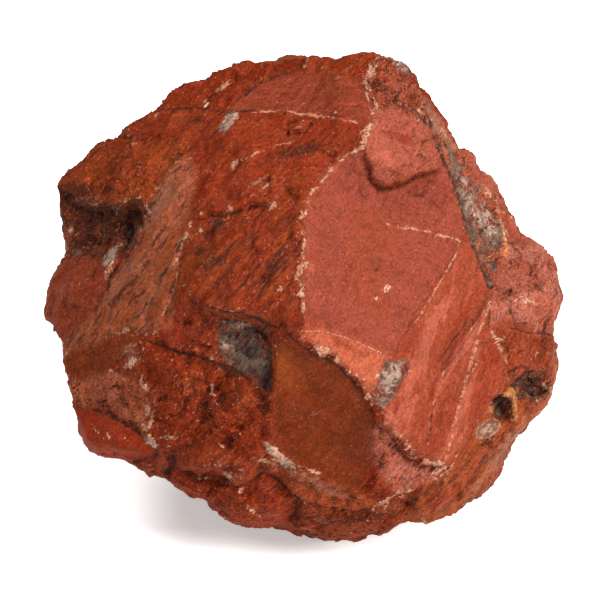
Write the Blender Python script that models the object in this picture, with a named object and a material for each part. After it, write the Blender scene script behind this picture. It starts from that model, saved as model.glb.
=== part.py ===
"""A rough chunk of red jasper, one broken stone resting on a small flat spot.

The stone is drawn from one line of sight. Its outline and its ridges are traced in that view,
every fracture face is told which way it faces, and the depths of all corners follow from that.
A domed back, cut by flat fractures, closes the far side. Sizes are in millimetres until the
last step, which writes metres. +Z is up and the line of sight runs along +Y, looking down.
"""

import math

import bpy
import numpy as np
from mathutils import Matrix, Vector, geometry, noise
from mathutils.bvhtree import BVHTree
from mathutils.kdtree import KDTree

# Driving sizes, in millimetres and degrees
STONE_WIDTH = 70.0
SIGHT_DOWN_DEG = 35.0
SIGHT_DISTANCE = 500.0
VOXEL = 0.75
SOLID_TRIANGLES = 9000
JASPER_RED = (0.29, 0.07, 0.035, 1.0)

# The back: each ring's size against the outline, how far it lies behind it and hangs below it,
# and how many corners of the outline it averages to each side
NEAREST_DEPTH = 15.0
BACK_RINGS = [
    (0.975, 5.0, 0.6, 1), (0.91, 13.0, 2.4, 5), (0.75, 22.0, 6.5, 10), (0.4, 29.0, 11.0, 16),
]
BACK_DEPTH = 31.0
BACK_SAG = 13.0
# Its fractures: which way each faces round the stone and up, and how far out it lies
BACK_FRACTURES = [
    (97, 14, 31.0), (58, -14, 34.5), (132, -18, 33.0), (88, -36, 35.0), (38, -40, 36.5),
    (152, -38, 36.0), (70, -2, 32.0), (120, 0, 31.5), (20, -30, 38.0), (172, -22, 36.5),
    (112, -58, 38.5), (10, -58, 37.0), (165, -60, 36.0), (100, -16, 31.5),
]
FLOOR_DEPTH = 36.3
REST_BAND = 0.12

# The broken surface: heights and sizes of its rolls, scoops, facets, crumbs, ribs and edge
# chips. A level is what is taken off a pattern so that it lies evenly about the face.
ROLL_HEIGHT = 0.22
ROLL_SIZE = 6.0
SCOOP_HEIGHT = 0.55
SCOOP_SIZE = 5.0
SCOOP_LEVEL = 0.25
HOLLOW_HEIGHT = 3.2
HOLLOW_SIZE = 13.0
HOLLOW_LEVEL = 0.45
FACET_SIZE = 3.4
FACET_LEAN = 0.38
FACET_LENGTH = 2.0
FACET_ROUGH = 1.2
FACET_MIX = 31.0
CRUMB_HEIGHT = 0.5
CRUMB_SIZE = 1.9
CRUMB_FROM = 1.2
GRAIN_DEG = 56.0
GRAIN_SIZE = 1.3
GRAIN_LENGTH = 9.0
CHIP_DEPTH = 1.2
CHIP_SIZE = 2.2
CHIP_LEVEL = 0.15
CHIP_REACH = 0.8
RIDGE_STEP = 0.5
# Near the traced lines the relief falls to this share, over this width
EDGE_SHARE = 0.35
EDGE_WIDTH = 1.3
# How wide a ledge's drop is, how far from their ends ledges and folds reach full height, and how
# far and how often they wander from their lines
LEDGE_DROP = 0.35
TAPER = 2.5
WANDER = 0.45
WANDER_SIZE = 1.8

# How firmly each face keeps its direction, and each line its evenness, against staying flat
FIRMNESS = 5.0
EVENNESS = 1.2
LEAST_SPREAD = 0.3
HOLD = 0.01

# The photograph's frame, in pixels: the middle of the picture, and the stone's width in it
PHOTO_MIDDLE = 300.0
PHOTO_STONE_WIDTH = 518.0
MM_PER_PIXEL = STONE_WIDTH / PHOTO_STONE_WIDTH

# The outline, clockwise from the peak, in pixels of the photograph
OUTLINE = [
    (371, 50), (382, 53), (396, 58), (407, 64), (415, 71), (422, 86), (432, 102), (444, 117),
    (453, 132), (458, 145), (466, 149), (474, 155), (480, 169), (491, 174), (499, 182),
    (502, 193), (507, 203), (516, 218), (523, 232), (532, 238), (543, 247), (551, 253),
    (555, 264), (559, 277), (561, 299), (558, 315), (553, 335), (558, 343), (555, 356),
    (554, 377), (549, 394), (542, 404), (532, 420), (516, 437), (509, 451), (500, 466),
    (494, 484), (487, 492), (472, 503), (449, 517), (427, 526), (411, 522), (401, 526),
    (386, 532), (357, 541), (338, 544), (325, 541), (315, 534), (300, 530), (287, 524),
    (268, 528), (251, 529), (235, 526), (224, 519), (210, 509), (203, 501), (188, 494),
    (176, 485), (166, 479), (153, 474), (138, 470), (131, 464), (119, 459), (103, 458),
    (90, 453), (82, 445), (77, 430), (76, 419), (71, 402), (69, 392), (66, 378), (61, 363),
    (63, 343), (52, 333), (46, 323), (43, 315), (47, 300), (50, 279), (61, 258), (66, 251),
    (68, 243), (66, 230), (61, 212), (57, 201), (56, 187), (67, 170), (84, 159), (94, 142),
    (107, 136), (118, 134), (120, 127), (130, 120), (147, 111), (155, 110), (161, 99),
    (172, 89), (184, 83), (203, 79), (212, 73), (230, 65), (249, 59), (264, 62), (277, 62),
    (300, 56), (323, 56), (338, 58), (350, 54),
]

# The ridges and creases between the fracture faces, in pixels of the photograph
LINES = {
    "main_ridge": [
        (371, 50), (378, 57), (371, 67), (366, 77), (367, 92), (371, 109), (373, 121),
        (367, 131), (365, 146), (346, 155), (335, 167), (322, 181), (311, 194), (304, 210),
        (301, 228), (305, 240), (303, 262), (301, 276), (303, 300), (304, 316), (302, 330),
    ],
    "shoulder_ridge": [
        (378, 57), (394, 71), (411, 83), (416, 90), (423, 100), (430, 112), (443, 131),
        (454, 146), (459, 159), (467, 169), (477, 182), (486, 189), (494, 199), (501, 218),
        (505, 234), (502, 252), (497, 272), (492, 292),
    ],
    "shoulder_split": [(454, 146), (458, 145)],
    "vein_left": [
        (430, 112), (432, 128), (439, 145), (449, 165), (453, 177), (457, 193), (461, 210),
        (467, 228), (471, 246), (479, 262), (486, 280), (492, 292),
    ],
    "knobs_foot": [(371, 109), (385, 108), (400, 103), (411, 107), (420, 116), (432, 128)],
    "ledge_top": [
        (365, 146), (370, 160), (375, 177), (381, 184), (399, 180), (411, 175), (424, 172),
        (437, 169), (449, 165),
    ],
    "ledge_foot": [
        (365, 146), (366, 162), (371, 181), (380, 190), (400, 186), (412, 180), (424, 176),
        (437, 171), (449, 165),
    ],
    "fan_left": [
        (467, 228), (460, 243), (452, 262), (444, 276), (430, 296), (413, 318), (404, 340),
        (392, 357),
    ],
    "fan_ridge": [
        (492, 292), (478, 320), (462, 340), (448, 352), (440, 385), (433, 417), (423, 449),
        (420, 457),
    ],
    "fan_trough": [(490, 310), (477, 346), (470, 375), (464, 400), (450, 437), (443, 463)],
    "fan_right": [
        (492, 292), (490, 310), (493, 325), (499, 344), (507, 361), (508, 384), (500, 396),
        (491, 408), (476, 424), (464, 445), (455, 462), (448, 474),
    ],
    "chip_top": [
        (302, 330), (312, 331), (322, 329), (344, 336), (362, 344), (374, 352), (388, 356),
        (392, 357),
    ],
    "grey_patch": [
        (392, 357), (410, 364), (406, 374), (400, 385), (391, 399), (384, 407), (369, 399),
        (376, 389), (380, 374), (386, 361), (392, 357),
    ],
    "chip_foot": [
        (302, 330), (309, 339), (320, 350), (334, 356), (348, 370), (362, 381), (369, 399),
    ],
    "notch_left": [(302, 330), (296, 338), (293, 346)],
    "tan_top": [
        (277, 345), (293, 346), (306, 352), (319, 358), (334, 362), (344, 373), (355, 386),
        (369, 399), (374, 428), (373, 445), (375, 460), (368, 471), (363, 480), (357, 487),
    ],
    "tan_left": [
        (277, 329), (277, 345), (275, 368), (272, 394), (271, 420), (269, 435), (270, 446),
    ],
    "tan_bottom": [
        (270, 446), (283, 456), (299, 467), (311, 474), (328, 478), (346, 484), (357, 487),
        (367, 494), (376, 503),
    ],
    "chip_gap": [(374, 428), (382, 421)],
    "step_top": [
        (384, 407), (387, 422), (394, 432), (408, 446), (420, 457), (432, 461), (443, 463),
        (448, 474),
    ],
    "step_foot": [
        (384, 407), (382, 421), (389, 433), (399, 450), (410, 462), (419, 466), (431, 470),
        (448, 474),
    ],
    "lower_chips": [(375, 460), (380, 468), (385, 481), (399, 493)],
    "lip": [
        (448, 474), (434, 480), (424, 484), (413, 491), (399, 493), (385, 499), (376, 503),
    ],
    "lip_notch": [(424, 484), (416, 503), (410, 511)],
    "strip_top": [(376, 503), (392, 504), (410, 511), (421, 517), (427, 526)],
    "strip_low": [
        (250, 459), (264, 471), (280, 480), (300, 497), (319, 501), (338, 507), (360, 508),
        (380, 509), (398, 515), (411, 522),
    ],
    "strip_left": [(250, 459), (262, 452), (270, 446)],
    "upper_pit": [
        (549, 394), (540, 402), (529, 400), (519, 397), (508, 384), (519, 375), (531, 369),
        (543, 371), (554, 377),
    ],
    "lower_pit": [
        (500, 396), (511, 398), (513, 410), (509, 423), (500, 421), (494, 415), (491, 408),
    ],
    "right_divide": [(493, 325), (505, 318), (520, 322), (537, 332), (553, 335)],
    "lump_top": [(505, 234), (512, 243), (520, 240), (532, 238)],
    "recess_lip": [
        (207, 308), (218, 312), (238, 312), (254, 319), (266, 323), (277, 329),
    ],
    "recess_foot": [
        (207, 308), (219, 319), (238, 320), (254, 327), (268, 335), (270, 345), (269, 365),
        (267, 383), (272, 394),
    ],
    "recess_corner": [(277, 329), (268, 335)],
    "grey_edge": [(219, 319), (216, 330), (219, 342), (218, 359)],
    "crease": [
        (163, 341), (177, 351), (196, 353), (203, 357), (218, 359), (228, 364), (247, 377),
        (256, 385), (266, 392), (272, 394),
    ],
    "brown_right": [
        (184, 238), (181, 251), (178, 268), (176, 285), (175, 302), (174, 320), (165, 328),
        (163, 341),
    ],
    "red_top": [(175, 302), (190, 303), (207, 308)],
    "edge_mid": [
        (184, 238), (199, 228), (212, 219), (225, 214), (245, 211), (262, 205), (276, 207),
        (290, 210), (304, 210),
    ],
    "brown_top": [
        (190, 163), (197, 175), (193, 195), (191, 215), (184, 238),
    ],
    "brown_left": [
        (190, 163), (178, 160), (166, 175), (159, 195), (150, 212), (143, 226), (138, 245),
        (124, 258), (113, 277), (103, 295), (96, 310), (76, 329), (63, 343),
    ],
    "block_top": [(118, 134), (130, 139), (150, 141), (168, 144), (185, 143), (190, 163)],
    "pit_top": [
        (56, 187), (68, 195), (82, 200), (100, 205), (119, 206), (127, 199), (140, 199),
        (150, 212),
    ],
    "pit_bottom": [(61, 258), (76, 256), (89, 258), (100, 260), (116, 256), (124, 258)],
    "vein_line": [
        (161, 99), (172, 109), (201, 108), (228, 113), (251, 111), (283, 111), (300, 114),
        (325, 116), (342, 119), (358, 122), (373, 121),
    ],
    "groove_top": [
        (228, 113), (240, 98), (255, 87), (275, 77), (295, 71), (319, 68), (338, 75),
        (366, 77),
    ],
    "peak_left": [(338, 75), (345, 66), (350, 54)],
    "orange_top": [
        (61, 363), (66, 353), (76, 349), (87, 346), (98, 341), (108, 335), (122, 332),
        (134, 328), (146, 333), (157, 331), (165, 328),
    ],
    "orange_low": [
        (66, 378), (78, 380), (88, 380), (99, 375), (110, 372), (115, 363), (124, 354),
        (133, 347), (143, 341), (146, 333),
    ],
    "chip_ridge": [
        (110, 372), (120, 375), (139, 381), (147, 388), (151, 403), (149, 418), (145, 428),
        (151, 439), (158, 447),
    ],
    "lump_a_top": [
        (71, 402), (82, 407), (93, 408), (105, 411), (117, 418), (135, 427), (146, 438),
        (158, 447),
    ],
    "lump_a_foot": [(131, 464), (143, 459), (156, 455), (158, 447)],
    "lump_b_left": [(158, 447), (168, 455), (170, 466), (166, 479)],
    "lump_b_top": [
        (158, 447), (171, 452), (181, 447), (198, 442), (215, 443), (235, 449), (250, 459),
    ],
    "lump_b_foot": [
        (170, 466), (185, 474), (199, 476), (205, 480), (218, 477), (230, 483), (240, 486),
        (252, 479), (264, 471),
    ],
    "lump_c_right": [(300, 497), (297, 510), (287, 524)],
}


# Small ledges within the faces: how high the side to the left of the line stands, over what width
# it runs back to nothing, and the line in pixels of the photograph
LEDGES = [
    (0.8, 4.0, [(231, 168), (243, 160), (258, 151), (272, 146), (284, 141)]),
    (0.8, 4.0, [(236, 208), (250, 197), (264, 184), (280, 172), (292, 166)]),
    (1.0, 4.0, [(190, 229), (203, 220), (214, 212), (228, 215), (243, 210), (262, 205), (282, 208)]),
    (0.8, 3.5, [(160, 322), (170, 300), (175, 280), (180, 256), (187, 238)]),
    (0.8, 3.0, [(148, 340), (164, 342), (178, 351), (196, 354), (210, 360), (226, 364)]),
    (1.0, 2.5, [(274, 478), (288, 489), (301, 499), (320, 502), (345, 506), (376, 507), (400, 512)]),
    (0.6, 2.0, [(286, 470), (312, 480), (336, 486), (356, 495), (372, 503)]),
    (0.4, 2.0, [(300, 486), (322, 490), (346, 498)]),
    (0.6, 3.0, [(175, 150), (160, 160), (138, 163), (112, 158), (101, 166)]),
    (0.7, 3.0, [(85, 196), (92, 178), (101, 166)]),
    (0.9, 4.0, [(423, 458), (429, 440), (433, 414), (443, 394), (454, 376)]),
    (0.5, 2.5, [(384, 142), (396, 128), (410, 122), (426, 134), (436, 148)]),
    (0.8, 2.0, [(64, 212), (80, 208), (96, 216), (112, 212), (126, 220), (138, 214), (150, 222)]),
    (0.7, 2.5, [(126, 372), (140, 380), (149, 392), (152, 410), (146, 430)]),
    (0.4, 3.0, [(470, 280), (482, 262), (478, 244)]),
]

# Sharp folds within the faces, in the same way: crests that stand up and creases that are cut in
FOLDS = [
    (-1.1, 2.0, [(478, 296), (465, 324), (452, 345), (441, 358), (435, 380), (428, 400)]),
    (1.2, 2.2, [(491, 300), (480, 318), (468, 336), (459, 353), (452, 374)]),
    (1.2, 1.8, [(479, 343), (470, 372), (461, 400), (455, 424), (449, 441), (444, 460)]),
    (-1.0, 2.0, [(492, 336), (488, 362), (478, 392), (468, 412), (458, 436)]),
    (0.6, 1.6, [(440, 278), (426, 306), (416, 330), (408, 352)]),
    (-0.8, 0.7, [(160, 448), (170, 456), (171, 468), (167, 480)]),
    (-0.7, 0.8, [(168, 478), (186, 476), (199, 478), (216, 479), (230, 484), (244, 486)]),
    (-0.8, 0.8, [(252, 478), (264, 474), (282, 488), (298, 503), (295, 514), (288, 524)]),
    (-0.5, 0.6, [(92, 408), (106, 412), (118, 419), (136, 428), (148, 439)]),
    (-0.6, 0.7, [(268, 392), (265, 415), (261, 435), (257, 452)]),
    (-0.5, 0.7, [(122, 258), (110, 280), (97, 303), (84, 318), (70, 330)]),
    (-0.6, 0.5, [(495, 176), (497, 190), (500, 198)]),
    (-0.4, 0.5, [(302, 236), (284, 252), (268, 270), (252, 290)]),
    (-0.5, 0.7, [(156, 111), (148, 121), (140, 127), (130, 137)]),
    (0.6, 1.2, [(533, 417), (515, 431), (500, 448), (488, 470), (479, 498)]),
    (-0.4, 0.8, [(512, 430), (494, 446), (480, 465), (470, 482)]),
    (0.4, 1.0, [(455, 478), (440, 492), (430, 512)]),
    (-0.4, 0.6, [(395, 461), (398, 478), (401, 490)]),
    (0.5, 0.9, [(382, 440), (386, 458), (384, 474)]),
    (0.4, 0.9, [(415, 467), (410, 480), (404, 491)]),
    (0.8, 1.8, [(96, 418), (106, 428), (118, 440), (126, 456)]),
    (0.6, 1.8, [(200, 446), (212, 460), (216, 474)]),
    (0.6, 1.8, [(214, 496), (238, 498), (262, 500), (286, 506)]),
    (0.5, 1.4, [(320, 512), (346, 518), (380, 520), (404, 518)]),
    (-0.5, 0.8, [(505, 268), (514, 280), (516, 300), (512, 318)]),
    (0.5, 1.6, [(530, 244), (540, 268), (544, 296), (538, 322)]),
    (0.5, 1.5, [(205, 92), (220, 100), (244, 96)]),
    (0.5, 1.5, [(62, 270), (74, 284), (78, 304), (70, 320)]),
    (-1.0, 1.0, [(63, 184), (67, 198), (66, 214)]),
    (-1.1, 1.0, [(77, 190), (81, 204), (79, 220)]),
    (-1.2, 1.0, [(96, 196), (98, 210), (94, 228)]),
    (-1.0, 0.9, [(113, 199), (110, 214), (114, 230)]),
    (-0.9, 0.9, [(134, 190), (131, 206), (126, 224)]),
]


class Face:
    """A fracture face: a pixel inside it, how far it is turned to the right and up from facing
    the viewer, how firmly it keeps to that, and how far it bulges out over its shoulder width."""

    def __init__(
        self, seed, right, up, grip=1.0, dome=0.0, shoulder=3.0, rough=1.0, grain=0.0,
    ):
        self.seed = seed
        self.slope = (-math.tan(math.radians(right)), -math.tan(math.radians(up)))
        self.grip = grip
        self.dome = dome
        self.shoulder = shoulder
        self.rough = rough
        self.grain = grain


FACES = {
    "peak_facet": Face((355, 62), -8, 46, grip=4),
    "back_band_top": Face((270, 70), -14, 50),
    "upper_band": Face((310, 92), -10, 36, rough=0.5),
    "upper_left": Face((260, 160), -20, 27, dome=0.8, shoulder=12),
    "block": Face((120, 165), -36, 26, dome=1.0, shoulder=6),
    "left_pit": Face((100, 230), -38, -26, dome=-2.4, shoulder=6, rough=2.2),
    "left_lump": Face((75, 295), -50, 0, dome=1.2, shoulder=5),
    "brown_face": Face((140, 285), -34, 12, rough=0.7, grain=0.3),
    "orange_facet": Face((90, 362), -40, -24, rough=0.4),
    "left_lower": Face((105, 395), -42, -22),
    "lump_a": Face((110, 438), -36, -36, dome=2.0, shoulder=5, rough=0.4),
    "lump_d": Face((150, 466), -20, -48, dome=0.9, shoulder=2.5),
    "lump_b": Face((210, 462), -14, -36, dome=1.9, shoulder=4, rough=0.7),
    "lump_c": Face((250, 505), -12, -50, dome=1.6, shoulder=5, rough=0.8),
    "grainy": Face((210, 400), -20, -26, dome=0.8, shoulder=8, rough=1.6),
    "red_face": Face((190, 330), -26, -12),
    "recess": Face((245, 350), -30, -10, rough=1.8),
    "recess_wall_top": Face((240, 316), -24, -66, grip=2),
    "recess_wall_side": Face((273, 355), -68, -24, grip=2),
    "center_left": Face((235, 265), -22, 12, dome=0.5, shoulder=10, grain=0.2),
    "tan_face": Face((320, 420), -8, -24, dome=-0.7, shoulder=9, rough=0.3),
    "notch": Face((310, 347), -10, -50, grip=0.8, rough=1.5),
    "chip": Face((345, 350), 20, 8, rough=0.8),
    "grey_patch": Face((392, 380), 14, 0, dome=-0.5, shoulder=1, rough=2.0),
    "chips": Face((377, 412), -6, -20, grip=3, rough=1.6),
    "pink_face": Face((350, 260), 27, 17, rough=0.45),
    "fan_left": Face((430, 350), 35, 13, rough=0.5, grain=0.22),
    "fan_trough": Face((450, 390), 22, 2, rough=0.5, grain=0.3),
    "fan_right": Face((485, 370), 36, 2, rough=0.5, grain=0.22),
    "small_pink": Face((410, 150), 30, 22, rough=0.7),
    "ledge_riser": Face((400, 183), 28, -62, grip=1.5),
    "knobs": Face((395, 88), 34, 24, rough=2.1),
    "back_band": Face((428, 100), 64, 30),
    "shoulder": Face((490, 182), 62, 26),
    "vein_band": Face((480, 225), 50, 18, dome=-0.5, shoulder=1.5, rough=1.5),
    "right_upper": Face((525, 280), 52, 12, dome=1.2, shoulder=5, rough=1.3),
    "right_lower": Face((530, 352), 50, -8, dome=0.6, shoulder=3),
    "bottom_right": Face((470, 490), 38, -40, dome=0.6, shoulder=5),
    "upper_pit": Face((530, 385), 44, -20, dome=-2.4, shoulder=2.5, rough=2.0),
    "lower_pit": Face((504, 409), 34, -30, dome=-1.6, shoulder=1.5, rough=1.8),
    "step_riser": Face((398, 442), 16, -56, grip=1.5, rough=1.6),
    "lower_pink": Face((400, 470), 20, -12, rough=1.2),
    "lower_chips": Face((375, 485), 0, -30, rough=1.4),
    "lip_notch": Face((402, 500), 10, -60, grip=2, dome=-0.8, shoulder=1),
    "strip": Face((320, 490), 4, -46, rough=1.2),
    "bottom_strip": Face((340, 525), 6, -60, dome=1.0, shoulder=4, rough=1.3),
}


BACK = Face(None, 0, 0)


def sight_point(pixel):
    """A pixel as millimetres right of and above the middle of the view."""
    return (
        (pixel[0] - PHOTO_MIDDLE) * MM_PER_PIXEL,
        (PHOTO_MIDDLE - pixel[1]) * MM_PER_PIXEL,
    )


def traced_net():
    """The outline and the lines as one triangle net in the view, with each triangle's face."""
    index = {}
    corners = []

    def corner(pixel):
        if pixel not in index:
            index[pixel] = len(corners)
            corners.append(Vector(sight_point(pixel)))
        return index[pixel]

    rim = [corner(pixel) for pixel in OUTLINE]
    edges = []
    for line in LINES.values():
        ends = [corner(pixel) for pixel in line]
        edges += list(zip(ends, ends[1:]))
    points, net_edges, triangles, _, edge_sources, _ = geometry.delaunay_2d_cdt(
        corners, edges, [rim], 1, 1e-4
    )
    walls = {frozenset(e) for e, source in zip(net_edges, edge_sources) if source}
    return np.array(points), np.array(triangles), walls


def face_of_triangles(points, triangles, walls):
    """Spreads each face's name from its seed over the triangles up to the lines."""
    beside = {}
    for t, corners in enumerate(triangles):
        for a, b in zip(corners, np.roll(corners, -1)):
            beside.setdefault(frozenset((a, b)), []).append(t)
    owner = [None] * len(triangles)
    for name, face in FACES.items():
        seed = np.array(sight_point(face.seed))
        start = next(t for t, c in enumerate(triangles) if inside(seed, points[c]))
        waiting = [start]
        while waiting:
            t = waiting.pop()
            if owner[t] is not None:
                continue
            owner[t] = name
            corners = triangles[t]
            for a, b in zip(corners, np.roll(corners, -1)):
                edge = frozenset((a, b))
                if edge not in walls:
                    waiting += [n for n in beside[edge] if owner[n] is None]
    return owner


def inside(point, triangle):
    """Whether a point of the view lies in a triangle that runs anticlockwise."""
    a, b, c = triangle
    return all(
        (q[0] - p[0]) * (point[1] - p[1]) - (q[1] - p[1]) * (point[0] - p[0]) >= 0
        for p, q in ((a, b), (b, c), (c, a))
    )


def solved_depths(points, triangles, owner):
    """How near the viewer each corner is: the depths that keep every face flat and turned as
    told, as nearly as all of them can be met at once."""
    names = list(FACES)
    count = len(points)
    rows, values = [], []

    def add(entries, value, weight):
        row = np.zeros(count + 3 * len(names))
        for column, factor in entries:
            row[column] += factor * weight
        rows.append(row)
        values.append(value * weight)

    for n, name in enumerate(names):
        face = FACES[name]
        corners = np.unique(triangles[[o == name for o in owner]])
        middle = points[corners].mean(axis=0)
        spread = np.abs(points[corners] - middle).mean() + LEAST_SPREAD
        plane = count + 3 * n
        weight = face.grip
        for c in corners:
            x, y = points[c] - middle
            add([(plane, x), (plane + 1, y), (plane + 2, 1.0), (c, -1.0)], 0.0, weight)
        for k in range(2):
            add([(plane + k, 1.0)], face.slope[k], FIRMNESS * spread * face.grip)
    index = {}
    for c in range(count):
        index[tuple(points[c].round(3))] = c
    for line in list(LINES.values()) + [OUTLINE]:
        ends = [index[tuple(np.round(sight_point(pixel), 3))] for pixel in line]
        for before, here, after in zip(ends, ends[1:], ends[2:]):
            add([(before, 0.5), (here, -1.0), (after, 0.5)], 0.0, EVENNESS)
    # Depth counts from nowhere in particular, so the first corner is lightly held at nothing
    add([(0, 1.0)], 0.0, HOLD)
    solution = np.linalg.lstsq(np.array(rows), np.array(values), rcond=None)[0]
    depths = solution[:count]
    return depths - depths.max()


def rim_loop(triangles):
    """The net's border corners in order, anticlockwise as the viewer sees them."""
    sides = [(c[k], c[(k + 1) % 3]) for c in triangles for k in range(3)]
    known = set(sides)
    follow = {a: b for a, b in sides if (b, a) not in known}
    loop = [next(iter(follow))]
    while follow[loop[-1]] != loop[0]:
        loop.append(follow[loop[-1]])
    return loop


def closed_cage():
    """The traced front with its solved depths and the domed back, as one closed shell."""
    points, triangles, walls = traced_net()
    owner = face_of_triangles(points, triangles, walls)
    depths = solved_depths(points, triangles, owner) + NEAREST_DEPTH
    rim = rim_loop(triangles)
    flat = [(x, y, z) for (x, y), z in zip(points, depths)]
    middle = np.mean([flat[r] for r in rim], axis=0)
    faces = [tuple(int(c) for c in corners) for corners in triangles]
    ring = rim
    outline = np.array([flat[r] for r in rim])
    for scale, drop, sag, blend in BACK_RINGS:
        first = len(flat)
        for k in range(len(rim)):
            spread = np.arange(k - blend, k + blend + 1) % len(rim)
            x, y, z = middle + scale * (outline[spread].mean(axis=0) - middle)
            flat.append((x, y - sag, z - drop))
        following = [first + k for k in range(len(rim))]
        for k in range(len(rim)):
            after = (k + 1) % len(rim)
            faces.append((ring[after], ring[k], following[k], following[after]))
            owner.append("back")
        ring = following
    flat.append((middle[0], middle[1] - BACK_SAG, middle[2] - BACK_DEPTH))
    for k in range(len(rim)):
        faces.append((ring[(k + 1) % len(rim)], ring[k], len(flat) - 1))
        owner.append("back")
    corners = [along_sight(Vector(corner)) for corner in flat]
    ridges = ridge_samples(corners, faces, walls)
    return corners, faces, owner, ridges


def along_sight(point):
    """Moves a point of the view to where the camera's sight line through it really runs."""
    shrink = (SIGHT_DISTANCE - point.z) / SIGHT_DISTANCE
    return Vector((point.x * shrink, point.y * shrink, point.z))


def ridge_samples(corners, faces, walls):
    """Points along every traced line, each with how sharply the surface folds out there."""
    beside = {}
    for face in faces:
        normal = geometry.normal([corners[c] for c in face[:3]])
        middle = sum((corners[c] for c in face), Vector()) / len(face)
        for a, b in zip(face, face[1:] + face[:1]):
            beside.setdefault(frozenset((a, b)), []).append((normal, middle))
    samples = []
    for wall in walls:
        a, b = (corners[c] for c in wall)
        (normal_a, middle_a), (normal_b, middle_b) = beside[wall]
        outward = (normal_a - normal_b).dot(middle_a - middle_b)
        fold = math.copysign(normal_a.angle(normal_b), outward)
        steps = max(1, int((b - a).length / RIDGE_STEP))
        samples += [(a.lerp(b, (k + 0.5) / steps), fold) for k in range(steps)]
    return samples


def reworked(mesh, kind, settings):
    """The mesh after one modifier."""
    holder = bpy.data.objects.new("helper", mesh)
    bpy.context.collection.objects.link(holder)
    modifier = holder.modifiers.new("helper", kind)
    for name, value in settings.items():
        setattr(modifier, name, value)
    shown = holder.evaluated_get(bpy.context.evaluated_depsgraph_get())
    result = bpy.data.meshes.new_from_object(shown)
    bpy.data.objects.remove(holder)
    bpy.data.meshes.remove(mesh)
    return result


def to_stone(point):
    """Turns the view upright: the sight line comes down at its angle, and +Z is up."""
    return Matrix.Rotation(math.radians(90 - SIGHT_DOWN_DEG), 3, "X") @ point


def to_view(point):
    """Turns an upright point back into the view."""
    return Matrix.Rotation(math.radians(SIGHT_DOWN_DEG - 90), 3, "X") @ point


def cut_flat(point):
    """Brings a point that lies beyond a fracture back on to it."""
    for azimuth, elevation, reach in BACK_FRACTURES:
        a, e = math.radians(azimuth), math.radians(elevation)
        normal = Vector((math.cos(a) * math.cos(e), math.sin(a) * math.cos(e), math.sin(e)))
        beyond = normal.dot(point) - reach
        if beyond > 0:
            point = point - normal * beyond
    return point


def rounded(distance, face):
    """How far a face bulges out at a distance from its nearest edge."""
    return face.dome * math.sin(math.pi / 2 * min(distance / face.shoulder, 1))


def turned(seen, degrees):
    """A point of the view in a frame turned by an angle: along it, across it, and its depth."""
    turn = math.radians(degrees)
    return Vector((
        seen.x * math.cos(turn) + seen.y * math.sin(turn),
        seen.y * math.cos(turn) - seen.x * math.sin(turn),
        seen.z,
    ))


def facet(spot, size, lean):
    """Height of a surface broken into small flat facets that each lean their own way."""
    middle = noise.voronoi(spot / size)[1][0]
    way = noise.cell_vector(middle * FACET_MIX) - Vector((0.5, 0.5, 0.5))
    return size * lean * way.dot(spot / size - middle)


def relief(seen, face, distance, fold):
    """The broken surface's own height over the flat face, in millimetres."""
    height = ROLL_HEIGHT * face.rough * noise.fractal(seen / ROLL_SIZE, 0.9, 2.0, 4)
    scoop = noise.voronoi(seen / SCOOP_SIZE)[0][0]
    height += SCOOP_HEIGHT * face.rough * (scoop * scoop - SCOOP_LEVEL)
    grained = turned(seen, GRAIN_DEG)
    longer = Vector((grained.x / FACET_LENGTH, grained.y, grained.z))
    height += min(face.rough, FACET_ROUGH) * facet(longer, FACET_SIZE, FACET_LEAN)
    if face is BACK:
        hollow = noise.voronoi(seen / HOLLOW_SIZE)[0][0]
        height += HOLLOW_HEIGHT * (hollow * hollow - HOLLOW_LEVEL)
    if face.rough > CRUMB_FROM:
        crumb = noise.voronoi(seen / CRUMB_SIZE)[0][0]
        height -= CRUMB_HEIGHT * (face.rough - 1) * crumb
    if face.grain:
        rib = Vector((grained.y / GRAIN_SIZE, grained.x / (GRAIN_LENGTH * GRAIN_SIZE), 3.0))
        height += face.grain * noise.fractal(rib, 1.0, 2.0, 2)
    if fold > 0:
        chip = max(0.0, noise.fractal(seen / CHIP_SIZE, 1.0, 2.0, 2) + CHIP_LEVEL)
        height -= CHIP_DEPTH * min(fold, 1.0) * chip * math.exp(-distance / CHIP_REACH)
    return height * min(1.0, EDGE_SHARE + (1 - EDGE_SHARE) * distance / EDGE_WIDTH)


def in_picture(seen):
    """Where points of the view lie in the picture, in millimetres from its middle."""
    grow = SIGHT_DISTANCE / (SIGHT_DISTANCE - seen[:, 2])
    return seen[:, :2] * grow[:, None]


def beside_line(spots, line):
    """How far points of the picture lie to the left of a traced line, less than nothing to its
    right, and how far they are from its nearer end, less than nothing beyond it."""
    course = np.array([sight_point(pixel) for pixel in line])
    lengths = np.hypot(*np.diff(course, axis=0).T)
    way = np.full(len(spots), np.inf)
    ends = np.zeros(len(spots))
    passed = 0.0
    for start, end, length in zip(course, course[1:], lengths):
        run = (end - start) / length
        along = (spots - start) @ run
        apart = spots - start - np.outer(np.clip(along, 0, length), run)
        distance = np.hypot(apart[:, 0], apart[:, 1])
        side = np.where(run[0] * apart[:, 1] < run[1] * apart[:, 0], -1, 1)
        closer = distance < np.abs(way)
        way[closer] = (side * distance)[closer]
        ends[closer] = np.minimum(passed + along, lengths.sum() - passed - along)[closer]
        passed += length
    return way, ends


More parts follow.
